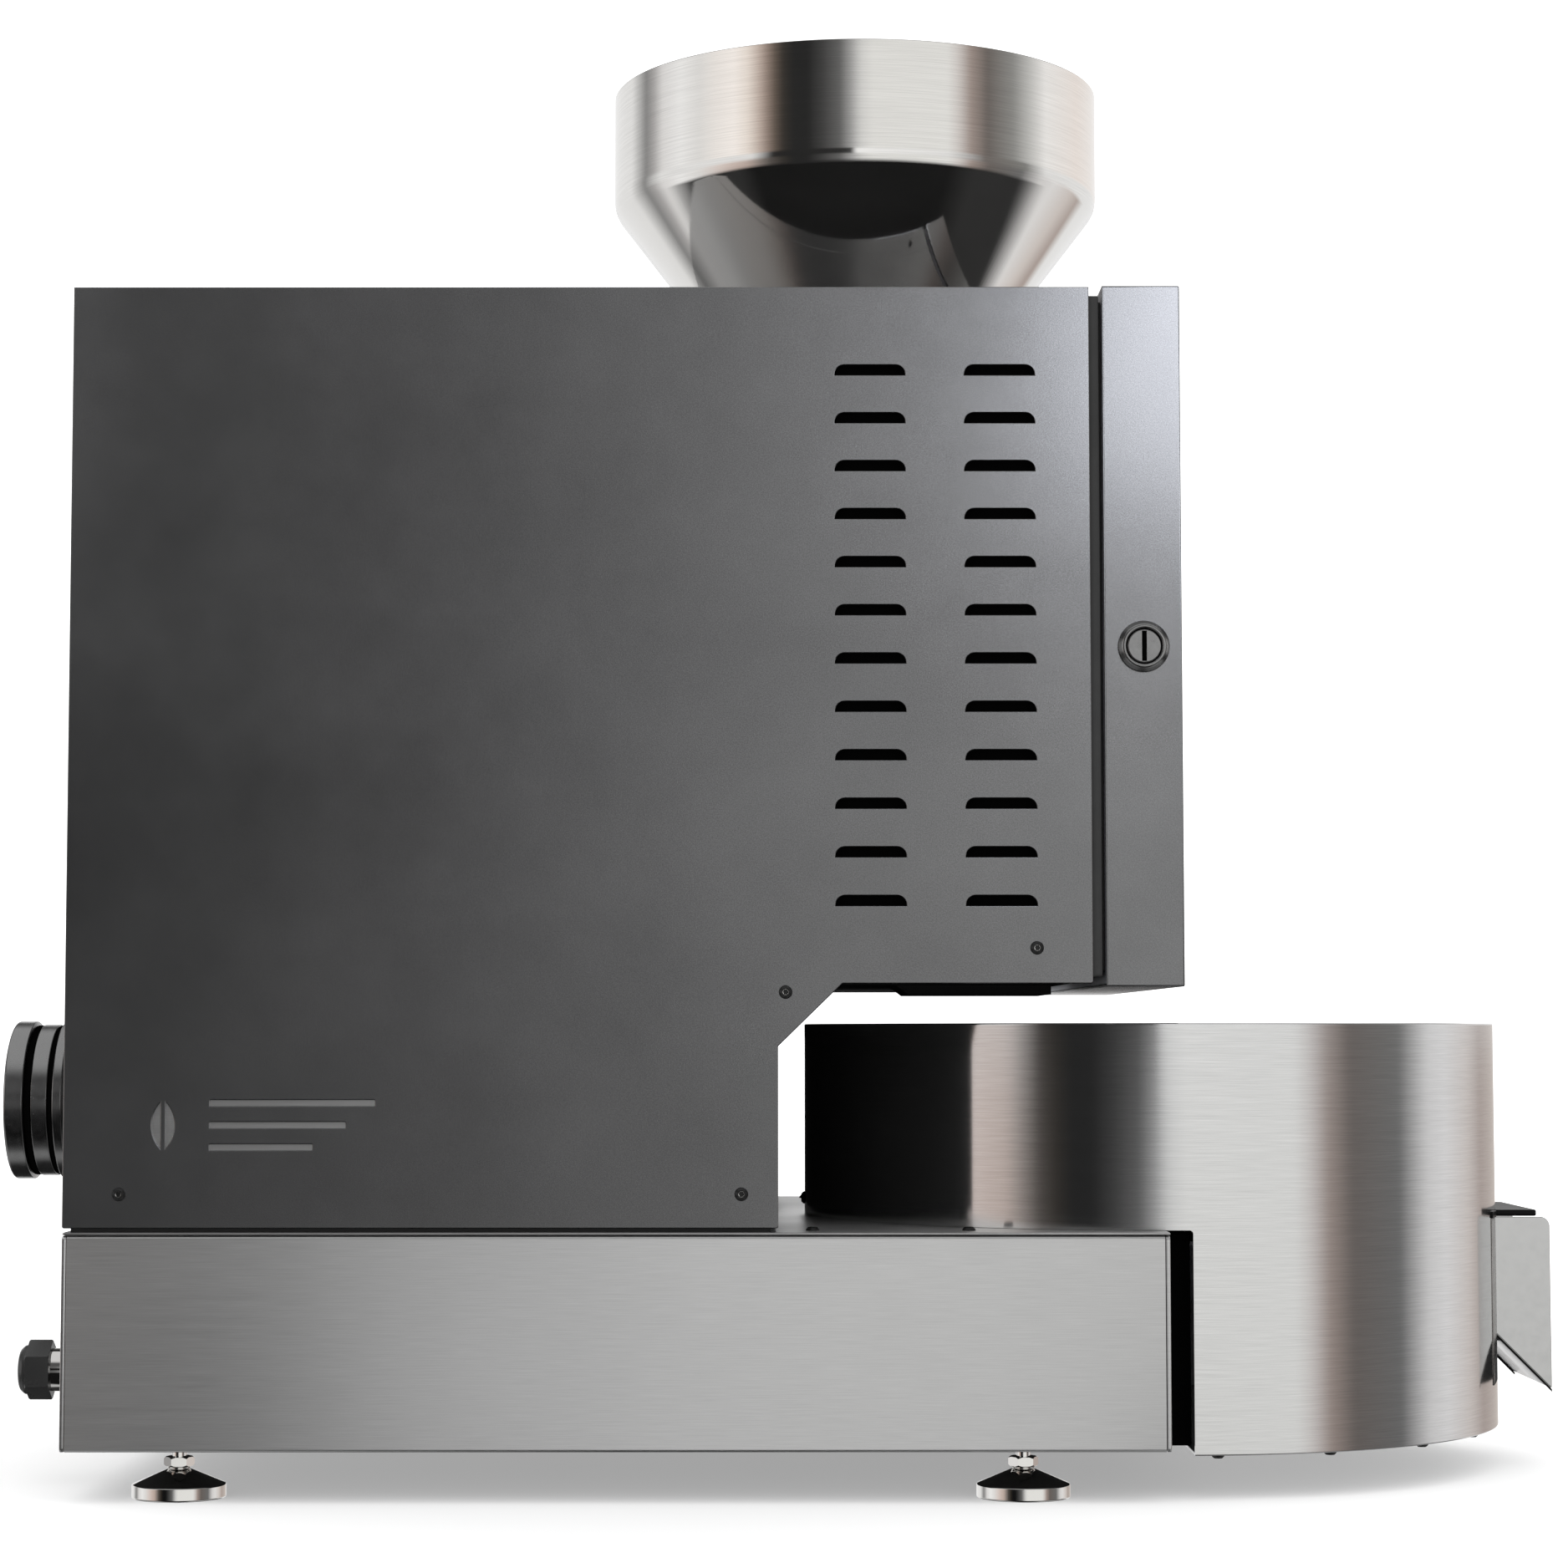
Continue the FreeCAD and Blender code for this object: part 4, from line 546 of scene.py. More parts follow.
LEG_LENGTH, LEG_STEP = 390.0, 219.5
BELLY_START, BELLY_HEIGHT = 425.2, 253.8
LOUVRE_WIDTH, LOUVRE_RISE = 39.0, 5.8
LOUVRE_FIRST, LOUVRE_PITCH, LOUVRE_ROWS = 296.1, 26.69, 12
LOUVRE_COLUMNS = (421.4, 493.0)
FLANGE, WIDE_FLANGE = 22.0, 34.0
FLANGE_STEP = (500.0, 512.0)
# Where the painted shade behind the louvres reaches, along x and up z.
LOUVRE_SHADE_START, LOUVRE_SHADE_END = LOUVRE_COLUMNS[0] - 9.0, 535.0
LOUVRE_SHADE_LOW, LOUVRE_SHADE_HIGH = LOUVRE_FIRST - 10.0, 606.0
BEAN_LOW, BEAN_HIGH, BEAN_BOW = 164.3, 189.0, 18.5
BAR_START, BAR_HEIGHT = 80.0, 3.4


def louvres():
    slots = []
    curve = LOUVRE_RISE - 0.4
    for column in LOUVRE_COLUMNS:
        for row in range(LOUVRE_ROWS):
            low = LOUVRE_FIRST + row * LOUVRE_PITCH
            last, top = column + LOUVRE_WIDTH, low + LOUVRE_RISE
            slots.append(rounded([(column, low), (last, low), (last, top, curve), (column, top, curve)]))
    return slots


def bow(u, low, high, radius, side):
    """The two-cornered outline of half a coffee bean, its straight side at u."""
    half = (high - low) / 2
    centre = math.sqrt(radius * radius - half * half)
    lean = math.asin(half / radius)
    turns = [lean * (1 - 2 * k / 16) for k in range(17)]
    return [(u + side * (radius * math.cos(t) - centre), low + half + radius * math.sin(t)) for t in turns]


def badge():
    """A plain cut-out sign: a bean in two halves, and three bars."""
    loops = [bow(53.0, BEAN_LOW, BEAN_HIGH, BEAN_BOW, -1), bow(56.0, BEAN_LOW, BEAN_HIGH, BEAN_BOW, 1)]
    for level, length in ((163.0, 56.0), (175.0, 74.0), (187.0, 90.0)):
        loops.append(oblong(BAR_START, BAR_START + length, level, level + BAR_HEIGHT, 0.5))
    return loops


def cabinet_sides():
    for side, name in ((LEFT, "cabinet_side_left"), (RIGHT, "cabinet_side_right")):
        low, high = span(name)
        face = max(abs(low.y), abs(high.y))
        loops = [rounded([
            (low.x, low.z, 1.2), (LEG_LENGTH, low.z, 1.2), (LEG_LENGTH, LEG_STEP, 0.8),
            (BELLY_START, BELLY_HEIGHT, 0.8), (high.x, BELLY_HEIGHT, 1.2), (high.x, high.z, 1.2),
            (low.x, high.z, 1.2),
        ])] + louvres()
        if side == LEFT:
            loops += badge()
        panel = Piece(name + "_skin")
        panel.add(flat(loops, "xz", *between(side, face, face - GAUGE), 0.45), CABINET)
        near, wide, edge = side * (face - FLANGE), side * (face - WIDE_FLANGE), side * (face - 0.4)
        top = [(low.x, edge), (low.x, near), (FLANGE_STEP[0], near), (FLANGE_STEP[1], wide), (high.x, wide),
               (high.x, edge)]
        flange = Piece(name + "_top_flange")
        flange.add(flat([top], "xy", high.z - GAUGE, high.z, 0.3), CABINET).finish("powder_coat")
        strip = oblong(LEG_LENGTH - 12.0, LEG_LENGTH - 0.3, low.z + 0.2, LEG_STEP)
        panel.add(flat([strip], "xz", *between(side, face - GAUGE, face - 2 * GAUGE), 0.2), UNDERSIDE)
        panel.finish("powder_coat", name)
        # Painted shade: a dull black sheet inside the panel, closed above and below, darkens the louvre
        # slots.
        louvre_shade = Piece(name + "_louvre_trap")
        depth = between(side, face - 6.0, face - 7.0)
        shade = oblong(LOUVRE_SHADE_START, LOUVRE_SHADE_END, LOUVRE_SHADE_LOW, LOUVRE_SHADE_HIGH, 3.0)
        louvre_shade.add(flat([shade], "xz", *depth, 0.2), PAINTED_SHADE)
        inside = side * (face - 1.7)
        for z in (LOUVRE_SHADE_LOW, LOUVRE_SHADE_HIGH - 1.0):
            corners = (LOUVRE_SHADE_START, min(depth[0], inside), z), (LOUVRE_SHADE_END, max(depth[1], inside), z + 1.0)
            louvre_shade.add(brick(*corners, 0.2), PAINTED_SHADE)
        louvre_shade.finish("black_coat")
    low, _ = span("cabinet_side_left")
    inside = low.y + GAUGE
    plate = flat([oblong(40.0, 178.0, 156.0, 197.0, 3.0)], "xz", inside + 0.05, inside + 1.0, 0.2)
    Piece("badge_backing").add(plate, BRUSHED).finish("brushed_steel")


def cabinet_sheets():
    low, high = span("cabinet_rear_panel")
    outlet = middle_of("exhaust_spigot")
    loops = [oblong(low.y, high.y, low.z, high.z, 1.0), ring(outlet.y, outlet.z, 46.0, 64)]
    for z in (560.0, 580.0, 600.0):
        for y in (-110.0, -30.0, 50.0):
            loops.append(oblong(y, y + 60.0, z, z + 6.0, 2.9))
    sheet("cabinet_rear_panel", "cabinet_rear_skin", loops, "yz", 0.35, CABINET, "powder_coat")
    low, high = span("cabinet_top_panel")
    near, far = high.y, high.y - WIDE_FLANGE + FLANGE
    first, last = [step - 0.3 for step in FLANGE_STEP]
    outline = rounded([(u, v, 0.6) for u, v in (
        (low.x, -near), (first, -near), (last, -far), (high.x, -far),
        (high.x, far), (last, far), (first, near), (low.x, near),
    )])
    loops = [outline, ring(middle_of("hopper").x, 0.0, 78.2, 96)]
    sheet("cabinet_top_panel", "cabinet_top_skin", loops, "xy", 0.4, CABINET, "powder_coat")


def door():
    low, high = span("door_shell")
    inside = low.x + 0.45
    drum = middle_of("drum_shell")
    glass = span("sight_glass")
    window = (glass[1].y - glass[0].y) / 2 + 0.2
    block = brick(low, high, 0.9, 3)
    wall = Vector((GAUGE, GAUGE, GAUGE))
    hollow = brick(low + wall - Vector((20.0 + GAUGE, 0, 0)), high - wall, 0.6)
    middle = middle_of("lock_bezel")
    barrel = rod(11.7, 0, 20, 48)
    barrel.transform(moved(middle.x, low.y + 10.0, middle.z) @ along_y(LEFT))
    opening = rod(window, 0, 80, 128)
    opening.transform(moved(low.x, 0.0, drum.z) @ ALONG_X)
    past = Vector((1.0, 1.0, 1.0))
    square_back = brick(low - past, (inside, high.y + 1.0, high.z + 1.0), 0.01, 1)
    skin = Piece("door_skin").add(carved(block, hollow, barrel, opening, square_back), CABINET)
    border = [
        oblong(low.y, high.y, low.z, high.z, 0.9),
        oblong(low.y + GAUGE, high.y - GAUGE, low.z + GAUGE, high.z - GAUGE, 0.6),
    ]
    skin.add(flat(border, "yz", low.x, inside + 0.35, 0.2), CABINET)
    skin.finish("powder_coat", "door_shell", body="door")
    profile = rounded([
        (window - 7.0, -2.0), (window + 6.0, -2.0), (window + 6.0, 2.2, 1.4), (window - 4.0, 3.0, 1.0),
        (window - 7.0, -0.2, 0.8),
    ], 0.2)
    collar = Piece("sight_ring").add(turned(profile, 128), BLACK_METAL, moved(high.x, 0.0, drum.z) @ ALONG_X)
    collar.finish("black_metal", body="door")


def door_seal():
    low, high = span("door_gasket")

    def inset(by, corner):
        return oblong(low.y + by, high.y - by, low.z + by, high.z - by, corner)

    lip = 1.3
    seal = Piece("door_seal")
    seal.add(flat([inset(0.0, 2.0), inset(9.0, 4.0)], "yz", low.x + lip, high.x - lip, 0.6), SEAL_AND_PAINTED_SHADOW)
    seal.add(flat([inset(3.0, 2.0), inset(9.0, 4.0)], "yz", low.x, high.x, 0.3), RUBBER)
    seal.finish("rubber", "door_gasket")


def lock():
    low, high = span("lock_bezel")
    centre = middle_of("lock_bezel")
    face = span("door_shell")[0].y
    edge = high.x - centre.x
    place = moved(centre.x, face, centre.z) @ along_y(LEFT)
    proud, bore = face - low.y, 9.45
    profile = rounded([
        (bore, -18.0), (11.5, -18.0), (11.5, -0.05), (edge, -0.05), (edge, 1.5, 1.3),
        (edge - 2.3, proud, 1.6), (edge - 3.9, proud, 0.7), (bore, proud - 2.0, 0.3),
    ], 0.15, 10.0)
    bezel = Piece("lock_ring", place).add(turned(profile, 96), DARK_STEEL)
    bezel.finish("chrome", "lock_bezel", body="door")
    front = face - span("lock_core")[0].y
    radius = 9.3
    plug = turned(rounded([(0, -19.0), (radius, -19.0), (radius, front, 0.7), (0, front)], 0.1, 12.0), 96)
    slot = brick((-1.35, -8.4, front - 1.9), (1.35, 8.4, front + 2.0), 0.2)
    core = Piece("lock_plug", place)
    core.add(carved(plug, slot), DARK_STEEL)
    # Painted shade: a dull black floor in the key slot.
    core.add(brick((-1.4, -8.3, front - 2.4), (1.4, 8.3, front - 1.7), 0.1), PAINTED_SHADE)
    cam = brick((-6.0, -7.0, -22.7), (6.0, 34.0, -20.3), 0.6)
    core.add(cam, STEEL)
    core.finish("chrome", "lock_core", body="lock")


# ---- hopper, spigot and gland ----


def hopper():
    low, high = span("hopper")
    centre = middle_of("hopper")
    radius = (high.x - low.x) / 2
    rim, knee, bend, slope, throat = high.z, 731.0, 18.0, 0.764, 28.0
    throat_z = knee - (radius - throat) / slope
    lean = math.atan(slope)
    inner_knee = knee + GAUGE * math.tan(lean / 2)
    inner_z = inner_knee - (radius - throat) / slope
    profile = rounded([
        (throat, throat_z), (radius, knee, bend), (radius, rim, 0.5), (radius - GAUGE, rim, 0.5),
        (radius - GAUGE, inner_knee, bend - GAUGE), (throat - GAUGE, inner_z),
        (throat - GAUGE, throat_z - GAUGE),
    ], 0.1, 3.0)
    bowl = turned(profile, 256)
    split = knee - 2.0
    piece = Piece("hopper_bowl", moved(centre.x))
    for finish, above in ((SPUN, True), (POLISHED, False)):
        part = bmesh.new()
        part.from_mesh(bowl)
        wrong = [f for f in part.faces if (f.calc_center_median().z > split) != above]
        bmesh.ops.delete(part, geom=wrong, context="FACES")
        piece.add(as_mesh(part), finish)
    bowl_skin = piece.finish("spun_steel", "hopper")
    blend_cone_shading(bowl_skin, centre, knee, bend, lean)


def blend_cone_shading(item, centre, knee, bend, lean):
    """Shades the outside of the cone as one soft turn out of the band, half of its real lean at most."""
    mesh = item.data
    reach = bend * math.tan(lean / 2)
    top, low = knee + reach, knee - reach * math.cos(lean)
    normals = [normal.vector.copy() for normal in mesh.corner_normals]
    for face in mesh.polygons:
        middle = (face.center - ORIGIN) / MM
        out = Vector((middle.x - centre.x, middle.y, 0)).normalized()
        if middle.z > top or face.normal.dot(out) < 0.3 or face.normal.z > 0.01:
            continue
        for loop in face.loop_indices:
            place = (mesh.vertices[mesh.loops[loop].vertex_index].co - ORIGIN) / MM
            share = min(max((top - place.z) / (top - low), 0.0), 1.0)
            around = Vector((place.x - centre.x, place.y, 0)).normalized()
            tilt = share * lean / 2
            normals[loop] = around * math.cos(tilt) - Vector((0, 0, math.sin(tilt)))
    mesh.normals_split_custom_set(normals)


def spigot():
    low, high = span("exhaust_spigot")
    rim, bore, tip = (high.z - low.z) / 2, 41.0, -low.x
    neck, land, groove = rim - 2.6, rim - 2.0, rim - 3.6
    profile = rounded([
        (bore, -12.0), (land, -12.0), (land, 0.0), (rim, 0.0), (rim, 6.0, 0.9), (neck, 7.5, 0.8),
        (neck, 34.0, 1.0), (rim, 35.5, 0.8), (rim, 40.8, 0.8), (groove, 41.6, 0.4), (groove, 43.8, 0.4),
        (land, 44.6, 0.6), (land, 53.8, 0.6), (groove, 54.4, 0.4), (groove, 57.6, 0.4), (rim, 58.6, 0.7),
        (rim, tip, 1.6), (bore + 1.5, tip, 1.0), (bore, tip - 2.0, 0.8),
    ], 0.1, 10.0)
    place = moved(z=(low.z + high.z) / 2) @ ALONG_BACK
    piece = Piece("exhaust_spigot_turned", place).add(turned(profile, 192), DARK_CHROME)
    # Painted shade: dull black rings fill most of the depth of the two grooves.
    for start, end in ((41.7, 43.7), (54.5, 57.5)):
        piece.add(washer(groove - 0.2, rim - 2.4, start, end, 192), PAINTED_SHADE)
    piece.finish("chrome", "exhaust_spigot")


def chamfered_hexagon(flats, start, end, chamfer, turn=0.0, bore=0.0):
    """A hexagonal bar along z with its end corners turned off, as on a nut."""
    corner = flats / math.sqrt(3)
    bar = flat([hexagon(flats, turn)], "xy", start, end, 0.25)
    cut, full = corner - chamfer, corner + 0.6
    keep = turned([
        (0, start - 1), (cut, start - 1), (cut, start), (full, start + chamfer + 0.4),
        (full, end - chamfer - 0.4), (cut, end), (cut, end + 1), (0, end + 1),
    ], 72)
    result = carved(bar, keep, operation="INTERSECT")
    if bore:
        result = carved(result, rod(bore, start - 2, end + 2, 48))
    return result


def gland():
    low, high = span("cable_gland")
    cap_low = span("gland_cap")[0]
    y, z = (low.y + high.y) / 2, (low.z + high.z) / 2
    flats, bore, neck, tip = 29.5, 7.5, 12.3, -cap_low.x - 1.4
    place = moved(0.0, y, z) @ ALONG_BACK
    body = Piece("gland_body", place)
    body.add(chamfered_hexagon(flats, 0.02, 9.0, 1.2, 0.0, bore), PLASTIC)
    body.add(turned(rounded([(12.2, 8.5), (12.2, 14.2, 0.4), (bore, 14.2), (bore, 8.5)]), 72), CHROME)
    thread = [(12.4 - 0.5 * (k % 2), -0.7 * k) for k in range(1, 21)]
    body.add(turned([(bore, -15.0), (bore, 0.1), (12.4, 0.1)] + thread, 72), PLASTIC)
    body.add(chamfered_hexagon(flats, -8.5, -2.6, 1.0, 0.0, 12.5), PLASTIC)
    body.finish("black_plastic", "cable_gland")
    cap = Piece("gland_dome", place)
    grooves = rounded([
        (neck, 13.9), (neck, 16.0, 0.3), (neck - 0.4, 16.6, 0.2), (neck, 17.2, 0.3), (neck, 25.6),
        (bore, 25.6), (bore, 13.9),
    ])
    cap.add(turned(grooves, 72), CHROME)
    cap.add(chamfered_hexagon(flats, 25.3, 38.9, 0.8, 0.0, bore), PLASTIC)
    dome = [(bore, 38.6), (13.9, 38.6), (13.9, 40.6, 1.6), (11.6, tip, 3.4), (bore, tip, 0.6)]
    cap.add(turned(rounded(dome, 0.1, 8.0), 96), PLASTIC)
    cap.finish("black_plastic", "gland_cap")
    sleeve = [(4.2, 20.0), (7.4, 20.0), (7.4, tip - 1.4, 0.5), (5.4, tip - 2.6, 0.8), (4.2, tip - 5.0, 0.6)]
    Piece("gland_seal", place).add(turned(rounded(sleeve), 64), RUBBER).finish("rubber")


# ---- cooling tray ----


def tray_middle():
    """The x of the round tray's axis, and its outer radius."""
    low, high = span("tray_skirt")
    return (low.x + high.x) / 2, (high.x - low.x) / 2


def tray_skirt():
    low, high = span("tray_skirt")
    x, radius = tray_middle()
    split = span("tray_spacer")[1].x + 0.1
    deck_top = span("deck_plate")[1].z + 0.2
    gate_top = span("tray_gate")[1].z + 0.45
    hem = 3.0
    wall = rounded([
        (radius - GAUGE, low.z), (radius, low.z, 0.6), (radius, high.z, 0.7), (radius - hem, high.z, 0.7),
        (radius - hem, high.z - hem), (radius - GAUGE, high.z - hem),
    ], 0.5)
    tube = turned(wall, 288)
    tube.transform(moved(x))
    left, below = low.x - 30.0, low.z - 9.0
    corner = rounded([(left, below), (split, below), (split, deck_top, 2.0), (left, deck_top)])
    step = flat([corner], "xz", -240.0, 240.0, 0.01)
    mouth = brick((x + 150.0, -54.3, 41.8), (x + 230.0, 54.3, gate_top), 0.2)
    Piece("tray_wall").add(carved(tube, step, mouth), TRAY).finish("brushed_steel", "tray_skirt")


def cooling_screen():
    """Rings of round holes: each hole sits in its own cell of the disc, and a plain rim surrounds them."""
    low, high = span("cooling_screen")
    x, _ = tray_middle()
    radius = (high.x - low.x) / 2
    back, front, half = 748.0 - x, 804.0 - x, 46.0
    pitch, hole = 6.4, 1.75
    margin, frame_width = 4.0, 8.0
    first = 14.0
    rows = int((radius - 7.0 - first) / pitch)
    shape = bmesh.new()

    def cell(r0, r1, t0, t1):
        """One cell's faces, top and bottom, with the wall of its hole."""
        corners = [(r0, t0), (r1, t0), (r1, t1), (r0, t1)]
        around = []
        for (ra, ta), (rb, tb) in zip(corners, corners[1:] + corners[:1]):
            around += [(ra + (rb - ra) * k / 3, ta + (tb - ta) * k / 3) for k in range(3)]
        edge = [Vector(polar(r, t)) for r, t in around]
        middle = Vector(polar((r0 + r1) / 2, (t0 + t1) / 2))
        rims = []
        for z in (low.z, high.z):
            outer = [shape.verts.new((p.x, p.y, z)) for p in edge]
            inner = [shape.verts.new((*(middle + (p - middle).normalized() * hole), z)) for p in edge]
            join(outer, inner)
            rims.append(inner)
        join(*rims)

    def join(one, other):
        for k in range(len(one)):
            after = (k + 1) % len(one)
            shape.faces.new([one[k], one[after], other[after], other[k]])

    def is_open(r, t):
        """Whether a place lies over the outlet, which stays open."""
        u, v = polar(r, t)
        return back - margin < u < front + margin and abs(v) < half + margin

    for row in range(rows):
        r0 = first + row * pitch
        middle = r0 + pitch / 2
        count = max(12, round(2 * math.pi * middle / pitch / 4) * 4)
        for k in range(count):
            t0, t1 = 2 * math.pi * k / count, 2 * math.pi * (k + 1) / count
            if not is_open(middle, (t0 + t1) / 2):
                cell(r0, r0 + pitch, t0, t1)
    bmesh.ops.recalc_face_normals(shape, faces=shape.faces)
    screen = Piece("cooling_screen_perforated", moved(x))
    screen.add(as_mesh(shape), STEEL)
    screen.add(washer(first + rows * pitch - 0.1, radius, low.z, high.z, 192), STEEL)
    screen.add(washer(11.0, first + 0.1, low.z, high.z, 96), STEEL)
    loops = [
        oblong(back - frame_width, front + frame_width, -half - frame_width, half + frame_width, 3.0),
        oblong(back, front, -half, half, 2.0),
    ]
    screen.add(flat(loops, "xy", low.z + 0.1, high.z + 0.1, 0.3), STEEL)
    screen.finish("plain_steel", "cooling_screen")


def tray_bottom():
    low, high = span("tray_bottom_plate")
    x, _ = tray_middle()
    radius = high.x - x
    lean = math.acos((low.x - x) / radius)
    turns = [lean * (2 * k / 72 - 1) for k in range(73)]
    arc = [polar(radius, t, x) for t in turns]
    sheet("tray_bottom_plate", "tray_bottom_skin", [arc], "xy", 0.3, BRUSHED, "brushed_steel")
    # Painted shade: the spacer is a dull black block, so the gap between the base and the tray reads dark.
    low, high = span("tray_spacer")
    well = rod(40.0, -20.0, 200.0, 64)
    well.transform(moved(x, 0.0, low.z + 34.0))
    spacer = carved(brick(low, high, 1.0), well)
    Piece("tray_spacer_block").add(spacer, PAINTED_SHADE).finish("black_coat", "tray_spacer")


def chute():
    """A slide between two cheeks, flanged to the tray's wall, with the gate plate over it."""
    low, high = span("tray_chute")
    x, radius = tray_middle()
    half, top, tip, back = 54.0, high.z, high.x, low.x
    foot = top - (tip - back)
    wall = radius + 0.05
    near, far = half + 0.5, half + 17.0
    flange_foot, shadow_foot, pad = (49.5, 21.8), (23.5, 21.3), (top + 0.1, top + 3.9)
    cheek = rounded([(back + 0.5, top, 0.5), (tip, foot + 0.5, 0.8), (tip, top, 5.5)])
    piece = Piece("chute_trough")
    for side in SIDES:
        piece.add(flat([cheek], "xz", *between(side, half, half - 1.2), 0.3), SHEET)
    slide = rounded([(back, top, 0.3), (tip, foot, 0.6), (tip, foot + 2.3, 0.5), (back + 2.3, top, 0.3)])
    piece.add(flat([slide], "xz", -half + 0.5, half - 0.5, 0.2), SHEET)
    seam = [(back + 2.0, top - 2.0), (tip, foot), (tip, foot - 1.5), (back + 2.0, top - 3.5)]
    # Painted shade: the flanges are in a darker copy of the chute steel, and on the near side a dark strip
    # under the flange is a painted shadow.
    for side in SIDES:
        piece.add(curved_flange(x, wall, 0.5, side, near, far, flange_foot, (top, top)), SHADED_FLANGE_STEEL)
        if side == LEFT:
            piece.add(curved_flange(x, wall, 0.5, side, near, far, shadow_foot, flange_foot), SEAL_AND_PAINTED_SHADOW)
        piece.add(curved_flange(x, wall, 1.0, side, near, far, (pad[0],) * 2, (pad[1],) * 2), GATE)
        piece.add(flat([seam], "xz", *between(side, half, half - 0.8), 0.1), GATE)
    piece.finish("plain_steel", "tray_chute")
    low, high = span("tray_gate")
    plate = rounded([(low.x, low.y, 2.0), (high.x, low.y, 3.0), (high.x, high.y, 3.0), (low.x, high.y, 2.0)])
    sheet("tray_gate", "tray_gate_plate", [plate], "xy", 0.8, GATE, "black_metal", "tray_outlet")


def curved_flange(x, radius, gauge, side, near, far, lows, tops):
    """A sheet that lies on the round wall. Its lower and upper edges each run from one height to another."""
    shape = bmesh.new()
    steps = 10
    columns = []
    for k in range(steps + 1):
        y = near + (far - near) * k / steps
        low, top = [a + (b - a) * k / steps for a, b in (lows, tops)]
        column = []
        for r in (radius, radius + gauge):
            for z in (low, top):
                column.append(shape.verts.new((x + math.sqrt(r * r - y * y), side * y, z)))
        columns.append(column)
    for a, b in zip(columns, columns[1:]):
        for i, j in ((0, 1), (1, 3), (3, 2), (2, 0)):
            shape.faces.new([a[i], a[j], b[j], b[i]])
    for ends in (columns[0], columns[-1]):
        shape.faces.new([ends[0], ends[1], ends[3], ends[2]])
    return softened(shaded(shape), 0.1)


def agitator():
    """The hub with its cap, four rod arms and the slanted ploughs that hang from them."""
    low, high = span("agitator_arms")
    x, _ = tray_middle()
    floor = span("cooling_screen")[1].z
    piece = Piece("agitator_arms_rig")
    foot, cap = floor + 1.2, floor + 35.0
    hub = rounded([(0, foot), (17.0, foot, 1.0), (17.0, floor + 30.0, 2.0), (10.0, cap, 2.0), (0, cap)], 0.2)
    piece.add(turned(hub, 72), STEEL, moved(x))
    piece.add(rod(7.9, low.z, floor + 2.0, 48), STEEL, moved(x))
    for k in range(4):
        turn = Matrix.Rotation(math.radians(90.0 * k + 25.0), 4, "Z")
        arm = brick((10.0, -3.0, floor + 20.0), (high.y - 2.0, 3.0, floor + 29.6), 1.4, 3)
        piece.add(arm, STEEL, moved(x) @ turn)
        for reach in (70.0 + 12.0 * k, 150.0 + 8.0 * k):
            blade = brick((0.0, -1.2, 1.6), (43.0, 1.2, 27.0), 1.0)
            tilt = moved(reach - 18.0, -8.0, floor) @ Matrix.Rotation(math.radians(35.0), 4, "Z")
            piece.add(blade, STEEL, moved(x) @ turn @ tilt)
            bolt = turned(rounded([(0, 29.0), (4.0, 29.0), (4.0, 32.0, 0.6), (0, 32.0)]), 24)
            piece.add(bolt, CHROME, moved(x) @ turn @ moved(reach - 2.0, 0.0, floor))
    piece.finish("plain_steel", "agitator_arms", body="agitator")


# ---- feet and screws ----

SCREW_HEAD = 2.2
UNDER_TRAY = 50.0


def feet():
    for name in ("foot_rear_left", "foot_rear_right", "foot_front_left", "foot_front_right"):
        low, high = span(name)
        centre = middle_of(name)
        pad = (high.x - low.x) / 2
        place = moved(centre.x, centre.y, low.z)
        piece = Piece(name + "_turned", place)
        profile = [(0, 0), (pad, 0, 0.9), (pad, 7.3, 0.8), (6.0, 15.7, 0.6), (6.0, 16.2), (0, 16.2)]
        piece.add(turned(rounded(profile, 0.25, 10.0), 160), CHROME)
        ball = rounded([(0, 15.0), (5.2, 15.0), (5.2, 16.6, 0.4), (4.4, 17.2, 0.2), (0, 17.2)])
        piece.add(turned(ball, 64), CHROME)
        piece.add(chamfered_hexagon(14.5, 17.0, 22.3, 1.1, math.radians(7.0)), CHROME)
        tall = high.z - low.z
        stud = rounded([(0, 20.0), (4.0, 20.0), (4.0, tall, 0.6), (0, tall)])
        piece.add(turned(stud, 48), CHROME)
        piece.finish("chrome", name, body=name)


def islands(node):
    """The boxes of a CAD node's separate solids, in machine millimetres."""
    shape = bmesh.new()
    shape.from_mesh(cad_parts[node].data)
    bmesh.ops.remove_doubles(shape, verts=shape.verts, dist=1e-6)
    shape.transform(TO_ROW.inverted())
    left = set(shape.verts)
    boxes = []
    while left:
        reached, waiting = set(), [left.pop()]
        while waiting:
            vertex = waiting.pop()
            reached.add(vertex)
            for edge in vertex.link_edges:
                other = edge.other_vert(vertex)
                if other in left:
                    left.discard(other)
                    waiting.append(other)
        corners = [v.co.copy() for v in reached]
        boxes.append([[pick(c[i] for c in corners) for i in range(3)] for pick in (min, max)])
    shape.free()
    return sorted(boxes)


